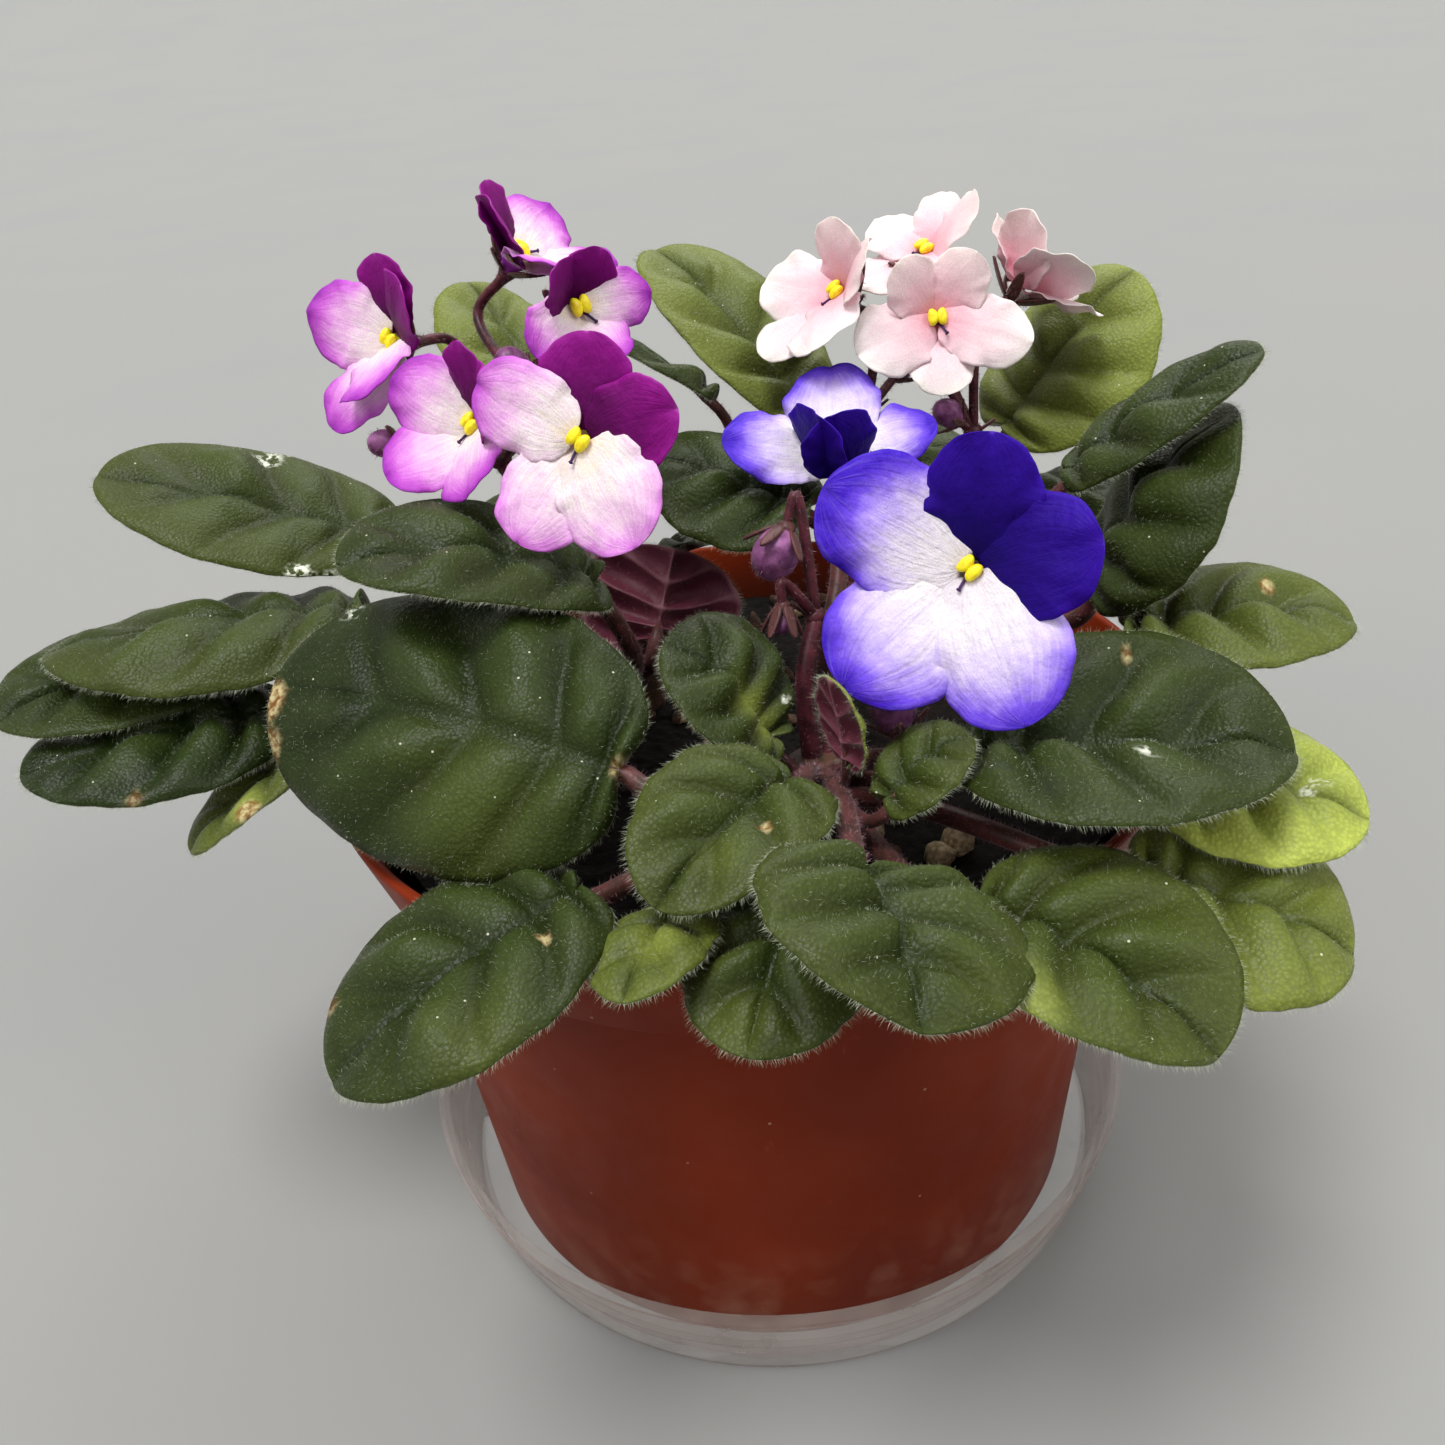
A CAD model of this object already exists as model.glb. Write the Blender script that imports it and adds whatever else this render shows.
"""Looks of a potted african violet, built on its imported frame.

Three plants in one pot: fuzzy quilted leaves, two-tone blooms, hairy stems and buds, a terracotta
plastic pot and a clear saucer. Lengths are millimetres and angles degrees, in the frame's own axes,
unless a comment says otherwise.
"""

import logging
import math
from dataclasses import dataclass, field
from enum import Enum, IntEnum
from functools import partial
from typing import Callable, Sequence

import bmesh
import bpy
import numpy as np
from mathutils import Matrix, Vector, noise


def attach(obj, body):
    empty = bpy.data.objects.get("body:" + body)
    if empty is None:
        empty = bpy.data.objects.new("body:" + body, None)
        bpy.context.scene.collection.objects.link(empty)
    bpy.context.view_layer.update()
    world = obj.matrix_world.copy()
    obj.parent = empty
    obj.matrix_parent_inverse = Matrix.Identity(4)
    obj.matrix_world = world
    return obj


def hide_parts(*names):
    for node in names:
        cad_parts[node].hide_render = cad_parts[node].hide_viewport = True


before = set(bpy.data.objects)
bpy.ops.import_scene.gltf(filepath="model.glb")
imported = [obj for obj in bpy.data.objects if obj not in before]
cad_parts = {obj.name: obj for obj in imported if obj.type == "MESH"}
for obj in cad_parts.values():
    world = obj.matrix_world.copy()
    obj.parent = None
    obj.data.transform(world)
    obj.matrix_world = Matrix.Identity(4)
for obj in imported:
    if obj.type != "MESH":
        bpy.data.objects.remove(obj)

LOG = logging.getLogger("violet")
# metres in a millimetre, and the distance in metres within which points become one
MM = 0.001
WELD = 1e-6
ROOT = "root"
UP = (0.0, 0.0, 1.0)
ASIDE = (1.0, 0.0, 0.0)
# share of its length at which a petal or sepal starts, so that it has some width at its root
PETAL_START = 0.02

Vec = tuple[float, float, float]
Pair = tuple[float, float]
Array = np.ndarray
Part = tuple[Array, Array]
Stops = tuple[tuple[float, str], ...]
Link = bpy.types.NodeSocket


class Seed(IntEnum):
    """Where each series of random draws starts."""

    FORK = 5
    BUD = 7
    SOIL = 21
    LEAVES = 100
    BLOOMS = 500


class LeafSlot(IntEnum):
    """Material slots of a leaf."""

    UPPER = 0
    LOWER = 1
    HAIR = 2


class PetalSlot(IntEnum):
    """Material slots of a corolla."""

    PALE = 0
    DARK = 1


class StemSlot(IntEnum):
    """Material slots of the stems."""

    SKIN = 0
    HAIR = 1


class AntherSlot(IntEnum):
    """Material slots of a bloom's middle."""

    POLLEN = 0
    STYLE = 1


class GrainSlot(IntEnum):
    """Material slots of the loose grains."""

    PERLITE = 0
    BARK = 1


# ------------------------------------------------------------------ design values, as in the solids
class Petal(Enum):
    """Which pair of a bloom's lobes a petal belongs to."""

    UPPER = "upper"
    LOWER = "lower"


@dataclass(frozen=True)
class Leaf:
    """One leaf blade: where it joins its petiole, where it ends, and how it bends."""

    plant: str
    name: str
    joint: Vec
    tip: Vec
    width: float
    roll: float = 0.0
    arch: float = 20.0
    fold: Pair = (8.0, 8.0)
    curl: Pair = (20.0, 20.0)
    facing: Vec = UP
    sweep: Vec = (0.0, 0.0, 0.0)


@dataclass(frozen=True)
class Bloom:
    """One bloom: its throat, the way it faces, and (clock, tilt, length, width) of each petal."""

    plant: str
    name: str
    centre: Vec
    azimuth: float
    elevation: float
    spin: float
    petals: tuple[tuple[float, float, float, float], ...]


@dataclass(frozen=True)
class Bud:
    """A bud on its own stalk: the fork it grows from, its middle, its radius and the way it points.

    One without petals is a calyx whose corolla has dropped.
    """

    fork: str
    place: Vec
    size: float
    facing: Vec | None = None
    petals: bool = True


@dataclass(frozen=True)
class Plant:
    """One plant's crown, the flower stalks that fork from it, and what grows from each fork."""

    crown: Vec
    forks: dict[str, tuple[Vec, ...]]
    bloom_forks: dict[str, str]
    buds: tuple[Bud, ...]


LEAVES: tuple[Leaf, ...] = (
    Leaf("a", "leaf_left_upper", (-67, 33, 124), (-118, 31, 143), 42,
         roll=-10, arch=5, fold=(10, 14), curl=(18, 26)),
    Leaf("a", "leaf_left_middle", (-69, 9, 120), (-123, 1, 121), 42,
         roll=8, arch=14, fold=(3, 0), curl=(45, 10)),
    Leaf("a", "leaf_left_lower", (-83, -3, 107), (-124, -18, 108), 35,
         roll=-5, arch=10, curl=(27, 20)),
    Leaf("a", "leaf_left_outer", (-96, 14, 112), (-131, -8, 113), 34,
         roll=-8, arch=20, fold=(11, 15)),
    Leaf("a", "leaf_left_small", (-77, -14, 104), (-97, -25, 94), 18,
         arch=35, curl=(0, 24)),
    Leaf("a", "leaf_over_left", (-24, -14, 131), (-61, -25, 143), 32,
         sweep=(0, 0, -12), roll=-10, arch=40, fold=(12, 12), curl=(13, 13)),
    Leaf("b", "leaf_front_left_large", (-20, -53, 119.5), (-76, -23, 123), 47,
         sweep=(4, -9, -6), roll=-32, arch=24, fold=(-10, 9), curl=(34, 28)),
    Leaf("b", "leaf_front_left_low", (-27, -62, 104.5), (-61, -81, 92.5), 38,
         roll=4, arch=30, fold=(16, 8), curl=(40, 10)),
    Leaf("b", "leaf_front_small", (-13, -66, 104.4), (-21, -84, 104.4), 17.5,
         roll=12, arch=27),
    Leaf("b", "leaf_front_folded", (4, -50, 113), (-16, -74, 111), 25,
         roll=-13, arch=48, fold=(13, 18), curl=(0, 5)),
    Leaf("b", "leaf_centre_dark", (2, -32, 110), (-13, -29, 127), 32,
         roll=-10, arch=50, curl=(0, 13)),
    Leaf("b", "leaf_centre_bract", (13, -44, 112), (11, -45, 127), 12,
         arch=18, curl=(20, 25)),
    Leaf("b", "leaf_under_bloom", (18, -54, 111), (30, -51, 119), 20,
         roll=-7, arch=30, fold=(14, 14)),
    Leaf("b", "leaf_front_low", (4, -65, 106), (-6, -89, 98), 26,
         arch=17, fold=(4, 4), curl=(18, 18)),
    Leaf("b", "leaf_front_heart", (11, -76, 115), (14, -102, 112), 37,
         sweep=(3, 0, -2), roll=-19, arch=25, fold=(4, 26), curl=(5, 33)),
    Leaf("b", "leaf_front_right", (27, -72, 104), (51, -96, 98), 34,
         roll=-11, arch=29, fold=(34, 17), curl=(5, 28)),
    Leaf("b", "leaf_right_low", (50, -67, 103), (76, -78, 96), 34,
         sweep=(0, 0, 3), roll=8, arch=26, fold=(10, 12), curl=(5, 27)),
    Leaf("b", "leaf_right_yellow", (58, -50, 109), (84, -62, 106), 32,
         roll=4, curl=(8, 24)),
    Leaf("b", "leaf_right_large", (31, -48, 114), (73, -60, 117), 46,
         roll=4, arch=8, fold=(17, 20), curl=(0, 20)),
    Leaf("c", "leaf_right_middle", (63, -21, 117), (95, -29, 120), 33,
         arch=26, fold=(11, 11), curl=(5, 25)),
    Leaf("c", "leaf_right_upright", (60, -8, 120), (80, -11, 150), 42,
         roll=-5, arch=40, fold=(0, 0), curl=(0, 50)),
    Leaf("c", "leaf_right_narrow", (57, -2, 138), (83, -11, 159), 22,
         roll=12, fold=(13, 8), curl=(32, 19)),
    Leaf("c", "leaf_back_right", (58, 47, 131), (83, 52, 159), 41,
         roll=11, fold=(6, 0), curl=(28, 35)),
    Leaf("c", "leaf_back_centre", (16, 43, 139), (-10, 73, 167), 35,
         fold=(16, 16), curl=(6, 28)),
    Leaf("a", "leaf_back_left", (-33, 55, 138), (-52, 89, 161), 32,
         roll=8, arch=10, curl=(22, 38)),
    Leaf("b", "leaf_centre_fuzzy", (13, 11, 131), (-14, 20, 141), 33,
         roll=-15, arch=10, curl=(25, 32)),
    Leaf("a", "leaf_centre_edge", (-2, 36, 146), (-28, 44, 160), 20,
         sweep=(0, 9, -4), roll=18),
    Leaf("a", "leaf_centre_cupped", (-14, 20, 121), (5, 13, 127), 17,
         roll=-20, fold=(25, 10)),
    Leaf("a", "leaf_centre_fan", (-16, 2, 112), (-11, 9, 127), 32,
         arch=20, fold=(20, 20), facing=(0, 1, 0.3)),
    Leaf("c", "leaf_rear_right", (70, 50, 112), (104, 66, 108), 38),
    Leaf("c", "leaf_rear_middle", (36, 70, 116), (40, 108, 114), 40),
    Leaf("a", "leaf_rear_left", (-34, 62, 114), (-44, 98, 108), 40),
)

BLOOMS: tuple[Bloom, ...] = (
    Bloom("a", "bloom_purple_1", (-55, 21, 165), -40, 19, 27,
          ((-34, 20, 13, 12), (22, 34, 14, 13), (130, 45, 15, 14), (176, 26, 18, 12), (-107, 19, 16, 14))),
    Bloom("a", "bloom_purple_2", (-34, 31, 175), 79, 50, -26,
          ((-30, 37, 13, 13), (33, 35, 12, 12), (109, 16, 16, 13), (182, 30, 17, 13), (-112, 25, 16, 14))),
    Bloom("a", "bloom_purple_3", (-23, 8, 170.5), 36, 16, -8,
          ((-35, 43, 9, 9), (38, 34, 9, 8), (101, 20, 11, 9), (176, 42, 11, 10), (-110, 10, 11, 10))),
    Bloom("a", "bloom_purple_4", (-40, -1, 155), -44, 32, 34,
          ((-34, 40, 13, 9), (26, 42, 13, 12), (107, 20, 14, 13), (183, 34, 16, 14), (-108, 30, 15, 13))),
    Bloom("a", "bloom_purple_5", (-22, -19, 157), -18, 18, 39,
          ((-35, 2, 14, 14), (35, 10, 15, 13), (109, 11, 17, 16), (173, 12, 17, 15), (-103, 2, 17, 13))),
    Bloom("b", "bloom_blue_1", (33, -36, 138), -22, 26, 43,
          ((-36, 25, 19, 16), (34, 22, 19, 17), (111, 12, 23, 19), (178, 16, 24, 21), (-108, 12, 23, 19))),
    Bloom("b", "bloom_blue_2", (19, 13, 140), -16, 58, 177,
          ((-32, 104, 13, 13), (46, 100, 14, 14), (82, 24, 19, 15), (174, 8, 18, 17), (-109, 2, 17, 12))),
    Bloom("c", "bloom_pink_1", (24, 38, 162), -58, 42, 29,
          ((-30, 50, 13, 13), (40, 36, 14, 13), (118, 19, 16, 14), (172, 18, 17, 14), (-128, 14, 16, 13))),
    Bloom("c", "bloom_pink_2", (40, 30, 158), 0, 28, -1,
          ((-38, 34, 12, 11), (37, 27, 12, 11), (114, 10, 16, 12), (180, 14, 13, 12), (-110, 12, 15, 13))),
    Bloom("c", "bloom_pink_3", (41, 47, 166), -13, 66, 55,
          ((-39, 22, 13, 9), (30, 50, 14, 12), (107, 10, 14, 13), (179, 4, 14, 13), (-106, 8, 11, 12))),
    Bloom("c", "bloom_pink_4", (58, 41, 160), 100, 50, 20,
          ((-48, 45, 14, 13), (38, 35, 14, 12), (112, 20, 16, 14), (184, 18, 15, 14), (-112, 29, 15, 13))),
)

PLANTS: dict[str, Plant] = {
    "a": Plant(
        crown=(-22, 18, 90),
        forks={"low": ((-28, 12, 120), (-39, 9, 146)), "high": ((-24, 14, 125), (-32, 13, 154))},
        bloom_forks={"bloom_purple_1": "low", "bloom_purple_4": "low", "bloom_purple_2": "high",
                     "bloom_purple_3": "high", "bloom_purple_5": "high"},
        buds=(Bud("low", (-58, 8, 151), 2.6), Bud("low", (-55, 10, 146), 3.0),
              Bud("low", (-43, 13, 160), 3.2), Bud("high", (-35, 12, 161), 3.2)),
    ),
    "b": Plant(
        crown=(10, -25, 90),
        forks={"low": ((9, -20, 112), (12, -14, 122)), "high": ((16, -16, 112), (20, -8, 126))},
        bloom_forks={"bloom_blue_1": "high", "bloom_blue_2": "high"},
        buds=(Bud("low", (6, -12, 133), 4.2, (-0.45, -0.35, -0.82)),
              Bud("low", (6, -18, 123), 3.0, (-0.1, -0.3, -0.95), petals=False),
              Bud("high", (21, -38, 117), 3.8, (-0.1, 0.1, 0.98)),
              Bud("high", (22, -44, 108), 2.6, (0.2, -0.3, -0.93), petals=False)),
    ),
    "c": Plant(
        crown=(38, 34, 90),
        forks={"low": ((36, 35, 118), (28, 37, 140)), "high": ((44, 36, 118), (49, 38, 134))},
        bloom_forks={"bloom_pink_1": "low", "bloom_pink_2": "high", "bloom_pink_3": "high",
                     "bloom_pink_4": "high"},
        buds=(Bud("high", (44, 38, 138), 3.0), Bud("low", (36, 44, 146), 2.6)),
    ),
}


# ------------------------------------------------------------------ small helpers
def unit(vector: Array) -> Array:
    """The vector, or each row of an array of vectors, at length one."""
    length = np.linalg.norm(vector, axis=-1, keepdims=True)
    return vector / np.maximum(length, 1e-9)


def square_to(way: Array) -> Array:
    """A unit vector at right angles to the unit vector given, upright where it can be."""
    side = np.array(ASIDE if abs(way[2]) > 0.9 else UP)
    return unit(side - way * side.dot(way))


def linear(hex_colour: str) -> tuple[float, float, float, float]:
    """An sRGB hex colour, such as #ffffff, as linear red, green, blue and full alpha."""
    channels = [int(hex_colour[i:i + 2], 16) / 255 for i in (1, 3, 5)]
    red, green, blue = [c / 12.92 if c <= 0.04045 else ((c + 0.055) / 1.055) ** 2.4 for c in channels]
    return red, green, blue, 1.0


@dataclass
class Shape:
    """A mesh being gathered: points in millimetres, faces, a material for each face, and paint."""

    points: list[Array] = field(default_factory=list)
    faces: list[tuple[int, ...]] = field(default_factory=list)
    slots: list[int] = field(default_factory=list)
    paint: list[Array] = field(default_factory=list)
    count: int = 0

    def add(self, points: Array, faces: Array, slot: int = 0, paint: Array | None = None) -> None:
        """Adds points and the faces between them.

        Args:
            points: (n, 3) positions in millimetres.
            faces: (m, 3) or (m, 4) indices into points.
            slot: material slot of these faces.
            paint: (n, 4) values that the materials read, or None for zeros.
        """
        points = np.asarray(points, float).reshape(-1, 3)
        self.points.append(points)
        self.faces.extend((np.asarray(faces) + self.count).tolist())
        self.slots.extend([slot] * len(faces))
        self.paint.append(np.zeros((len(points), 4)) if paint is None else paint.reshape(-1, 4))
        self.count += len(points)

    def add_sheet(self, top: Array, under: Array, slots: tuple[int, int], paint: Array,
                  behind: Array | None = None) -> Array:
        """Adds a thin closed sheet: two faces and the rim between them.

        Args:
            top: (rows, columns, 3) points of the upper face, in millimetres.
            under: the same of the lower face.
            slots: material slots of the two faces.
            paint: (rows, columns, 4) values that the materials read.
            behind: the same for the lower face, or None for those of the upper face.

        Returns:
            The quads of the upper face, as indices into its points.
        """
        rows, columns = top.shape[:2]
        quads = grid_faces(rows, columns, flip=True)
        index = np.arange(rows * columns).reshape(rows, columns)
        loop = np.concatenate([index[0], index[1:, -1], index[-1, -2::-1], index[-2:0:-1, 0]])
        rim = np.stack([loop, np.roll(loop, -1), np.roll(loop, -1) + index.size, loop + index.size], -1)
        start = self.count
        self.add(top, quads, slots[0], paint)
        self.add(under, quads[:, ::-1], slots[1], paint if behind is None else behind)
        self.faces.extend((rim + start).tolist())
        self.slots.extend([slots[0]] * len(rim))
        return quads

    def build(self, name: str, materials: Sequence[bpy.types.Material]) -> bpy.types.Object:
        """The Blender object for this shape.

        Args:
            name: object name.
            materials: one for each slot.

        Returns:
            The new object, linked to the scene.
        """
        mesh = bpy.data.meshes.new(name)
        mesh.from_pydata((np.concatenate(self.points) * MM).tolist(), [], self.faces)
        for material in materials:
            mesh.materials.append(material)
        mesh.polygons.foreach_set("material_index", self.slots)
        mesh.polygons.foreach_set("use_smooth", [True] * len(self.faces))
        layer = mesh.attributes.new("paint", "FLOAT_COLOR", "POINT")
        layer.data.foreach_set("color", np.concatenate(self.paint).astype(np.float32).ravel())
        # points that coincide become one, which closes the poles of balls and turned bodies
        body = bmesh.new()
        body.from_mesh(mesh)
        bmesh.ops.remove_doubles(body, verts=body.verts, dist=WELD)
        body.to_mesh(mesh)
        body.free()
        piece = bpy.data.objects.new(name, mesh)
        bpy.context.scene.collection.objects.link(piece)
        return piece


def grid_faces(rows: int, columns: int, flip: bool = False, closed: bool = False) -> Array:
    """Quads of a grid of points laid out row by row.

    Args:
        rows: number of rows of points.
        columns: points in each row.
        flip: turn the faces over.
        closed: join the last column to the first.

    Returns:
        (m, 4) indices.
    """
    steps = columns if closed else columns - 1
    row, column = np.meshgrid(np.arange(rows - 1), np.arange(steps), indexing="ij")
    after = (column + 1) % columns
    a, b = row * columns + column, row * columns + after
    c, d = (row + 1) * columns + after, (row + 1) * columns + column
    quads = np.stack([a, b, c, d], -1).reshape(-1, 4)
    return quads[:, ::-1] if flip else quads


def globe(rows: int, columns: int) -> Part:
    """Angles of a ball's grid: (rows, 1) from its pole, and (1, columns) round it."""
    return np.linspace(0, np.pi, rows)[:, None], np.linspace(0, 2 * np.pi, columns, endpoint=False)[None]


def shares(first: float, rows: int, half_columns: int) -> Part:
    """A sheet's grid: (rows, 1) shares of the way along it, and (1, columns) from -1 to 1 across."""
    return np.linspace(first, 1, rows)[:, None], np.linspace(-1, 1, 2 * half_columns + 1)[None]


def wrinkle(points: Array, size: float) -> Array:
    """Smooth noise between -1 and 1 at each point.

    Args:
        points: (..., 3) positions in millimetres.
        size: size of one lump in millimetres.

    Returns:
        One value for each point.
    """
    flat = points.reshape(-1, 3) / size
    return np.array([noise.noise(Vector(p)) for p in flat.tolist()]).reshape(points.shape[:-1])


# ------------------------------------------------------------------ blades
@dataclass
class Blade:
    """A leaf or petal sheet: its spine is an arc, and its halves fold up and curl down.

    The base bulges back by lobe round a notch as wide as sinus, in radians; pinch narrows it.
    """

    joint: Array
    tip: Array
    width: float
    roll: float = 0.0
    arch: float = 20.0
    fold: Pair = (8.0, 8.0)
    curl: Pair = (20.0, 20.0)
    facing: Vec = UP
    lobe: float = 0.0
    widest: float = 0.45
    pinch: float = 1.0
    sinus: float = 0.25
    wave: float = 0.0
    scallops: int = 11
    crease: float = 1.5
    least_bend: float = 0.5

    def __post_init__(self) -> None:
        """Works out the blade's own axes and the length of its spine."""
        self.joint, self.tip = np.asarray(self.joint, float), np.asarray(self.tip, float)
        self.angle = math.radians(self.arch if abs(self.arch) >= self.least_bend else self.least_bend)
        chord = self.tip - self.joint
        self.along = unit(chord)
        across = unit(np.cross(np.asarray(self.facing, float), self.along))
        over = np.cross(self.along, across)
        turn = math.radians(self.roll)
        self.across = across * math.cos(turn) + over * math.sin(turn)
        self.over = np.cross(self.along, self.across)
        self.length = np.linalg.norm(chord) * self.angle / 2 / math.sin(self.angle / 2)

    def margin(self, angle: Array) -> tuple[Array, Array]:
        """The blade's outline at an angle from its tip (0) to its base (pi).

        Args:
            angle: angles in radians.

        Returns:
            Distance along the spine and half width, in millimetres.
        """
        middle, c = self.widest * self.length, np.cos(angle)
        notch = np.exp(-(((np.pi - angle) / self.sinus) ** 2))
        along = np.where(c >= 0, middle + (self.length - middle) * c,
                         middle + (middle + self.lobe) * c + self.lobe * notch)
        half = 0.5 * self.width * np.abs(np.sin(angle)) ** np.where(c < 0, self.pinch, 1.0)
        return along, half + self.wave * np.sin(angle * self.scallops) * np.sin(angle)

    def place(self, x: Array, y: Array, lift: Array) -> Array:
        """Points of the blade.

        Args:
            x: distance along the spine.
            y: signed distance across it, along the sheet.
            lift: height over the sheet's upper face.

        Returns:
            (..., 3) positions in millimetres.
        """
        lean = self.angle * (0.5 - x / self.length)
        radius = self.length / self.angle
        forward = radius * (math.sin(self.angle / 2) - np.sin(lean))
        rise = radius * (np.cos(lean) - math.cos(self.angle / 2))
        fold = np.radians(np.where(y < 0, self.fold[1], self.fold[0]))
        curl = np.radians(np.where(y < 0, self.curl[1] or self.least_bend, self.curl[0] or self.least_bend))
        half = self.width / 2
        slope = fold - curl * np.abs(y) / half
        # the lift turns square to the folded sheet within a crease's width of the spine
        middle = np.clip(np.abs(y) / self.crease, 0, 1)
        out = half / curl * (np.sin(fold) - np.sin(slope)) - np.sin(slope) * lift * middle
        height = (half / curl * (np.cos(slope) - np.cos(fold))
                  + lift * (1 + (np.cos(slope) - 1) * middle))
        normal = np.cos(lean)[..., None] * self.over - np.sin(lean)[..., None] * self.along
        return (self.joint + forward[..., None] * self.along + rise[..., None] * self.over
                + (out * np.where(y < 0, -1.0, 1.0))[..., None] * self.across + height[..., None] * normal)

    def normal(self) -> Array:
        """The way the upper face looks at the joint."""
        return self.over * math.cos(self.angle / 2) - self.along * math.sin(self.angle / 2)

    def direction(self) -> Array:
        """The way the spine runs at the joint."""
        return self.along * math.cos(self.angle / 2) + self.over * math.sin(self.angle / 2)


# ------------------------------------------------------------------ hairs
@dataclass(frozen=True)
class Fur:
    """Fine upright hairs on a surface."""

    per_square_mm: float
    length: Pair
    width: float
    lean: float

    def on_faces(self, points: Array, quads: Array, rng: np.random.Generator) -> Array:
        """Hairs spread evenly over quads.

        Args:
            points: (n, 3) positions.
            quads: (m, 4) indices, turning left seen from outside.
            rng: seeded draw.

        Returns:
            (k, 3, 3) hair triangles.
        """
        patches = points[quads]
        cross = np.cross(patches[:, 2] - patches[:, 0], patches[:, 3] - patches[:, 1]) / 2
        area = np.linalg.norm(cross, axis=1)
        number = int(area.sum() * self.per_square_mm)
        chosen = rng.choice(len(quads), number, p=area / area.sum())
        u, v = rng.random((2, number, 1))
        a, b, c, d = patches[chosen].transpose(1, 0, 2)
        roots = (a * (1 - u) + b * u) * (1 - v) + (d * (1 - u) + c * u) * v
        return self.triangles(roots, unit(cross[chosen]), rng)

    def triangles(self, roots: Array, ways: Array, rng: np.random.Generator) -> Array:
        """A thin triangle for each hair.

        Args:
            roots: (k, 3) positions.
            ways: (k, 3) unit directions that the hairs lean about.
            rng: seeded draw.

        Returns:
            (k, 3, 3) corners.
        """
        number = len(roots)
        ways = unit(ways + rng.normal(0, self.lean, (number, 3)))
        side = unit(np.cross(ways, rng.normal(0, 1, (number, 3)))) * self.width / 2
        length = rng.uniform(*self.length, (number, 1))
        return np.stack([roots - side, roots + side, roots + ways * length], 1)


def add_hairs(shape: Shape, hairs: Array, slot: int) -> None:
    """Adds hair triangles to a shape.

    Args:
        shape: the shape that grows them.
        hairs: (k, 3, 3) corners.
        slot: material slot of the hairs.
    """
    shape.add(hairs.reshape(-1, 3), np.arange(len(hairs) * 3).reshape(-1, 3), slot)


# ------------------------------------------------------------------ tubes
def bezier(points: Sequence[Array], t: Array) -> Array:
    """A cubic Bezier curve with four control points, at shares t of the way."""
    a, b, c, d = [np.asarray(p, float) for p in points]
    s = t[:, None]
    return a * (1 - s) ** 3 + 3 * b * s * (1 - s) ** 2 + 3 * c * s ** 2 * (1 - s) + d * s ** 3


def smooth_route(points: Sequence[Array], steps: int) -> Array:
    """A curve through every point.

    Args:
        points: two or more positions.
        steps: number of steps between each two.

    Returns:
        (n, 3) positions.
    """
    p = [np.asarray(q, float) for q in points]
    p = [2 * p[0] - p[1], *p, 2 * p[-1] - p[-2]]
    t = np.linspace(0, 1, steps, endpoint=False)[:, None]
    pieces = []
    for a, b, c, d in zip(p, p[1:], p[2:], p[3:]):
        pieces.append(0.5 * (2 * b + (c - a) * t + (2 * a - 5 * b + 4 * c - d) * t ** 2
                             + (3 * b - a - 3 * c + d) * t ** 3))
    return np.concatenate([*pieces, p[-2][None]])


def tube(route: Array, radii: Array, sides: int) -> Part:
    """A round tube along a route, closed at both ends.

    Args:
        route: (n, 3) centres.
        radii: n radii.
        sides: points round it.

    Returns:
        Points and quads.
    """
    tangent = unit(np.gradient(route, axis=0))
    # any way will do that no route starts along
    normals = [unit(np.cross(tangent[0], (0.3, 0.9, 0.2)))]
    for way in tangent[1:]:
        normals.append(unit(normals[-1] - way * np.dot(normals[-1], way)))
    first = np.array(normals)
    second = np.cross(tangent, first)
    turn = np.linspace(0, 2 * np.pi, sides, endpoint=False)
    ring = np.cos(turn)[None, :, None] * first[:, None] + np.sin(turn)[None, :, None] * second[:, None]
    points = route[:, None] + ring * np.asarray(radii)[:, None, None]
    ends = np.repeat(route[[0, -1], None], sides, axis=1)
    points = np.concatenate([ends[:1], points, ends[1:]])
    return points.reshape(-1, 3), grid_faces(len(points), sides, closed=True)


def lathe(profile: Sequence[Pair], sides: int) -> Part:
    """A turned body.

    Args:
        profile: (radius, height) from the axis out and back, in millimetres.
        sides: points round it.

    Returns:
        Points and quads.
    """
    turn = np.linspace(0, 2 * np.pi, sides, endpoint=False)
    radius, height = np.array(profile, float).T
    points = np.stack([radius[:, None] * np.cos(turn), radius[:, None] * np.sin(turn),
                       np.broadcast_to(height[:, None], (len(radius), sides))], -1)
    return points.reshape(-1, 3), grid_faces(len(profile), sides, closed=True)


def rounded(profile: Sequence[Pair], bevel: float) -> list[Pair]:
    """The profile with each corner but the first and last replaced by a short curve.

    Args:
        profile: (radius, height) corners.
        bevel: how far the curve reaches from the corner, unless its sides are too short.

    Returns:
        The longer profile.
    """
    points = [np.array(p, float) for p in profile]
    out = [tuple(points[0])]
    for before, here, after in zip(points, points[1:], points[2:]):
        reach = min(bevel, 0.45 * np.linalg.norm(here - before), 0.45 * np.linalg.norm(after - here))
        start, end = here + unit(before - here) * reach, here + unit(after - here) * reach
        for t in (0.0, 0.33, 0.67, 1.0):
            out.append(tuple(start * (1 - t) ** 2 + 2 * here * t * (1 - t) + end * t ** 2))
    return [*out, tuple(points[-1])]


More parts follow.
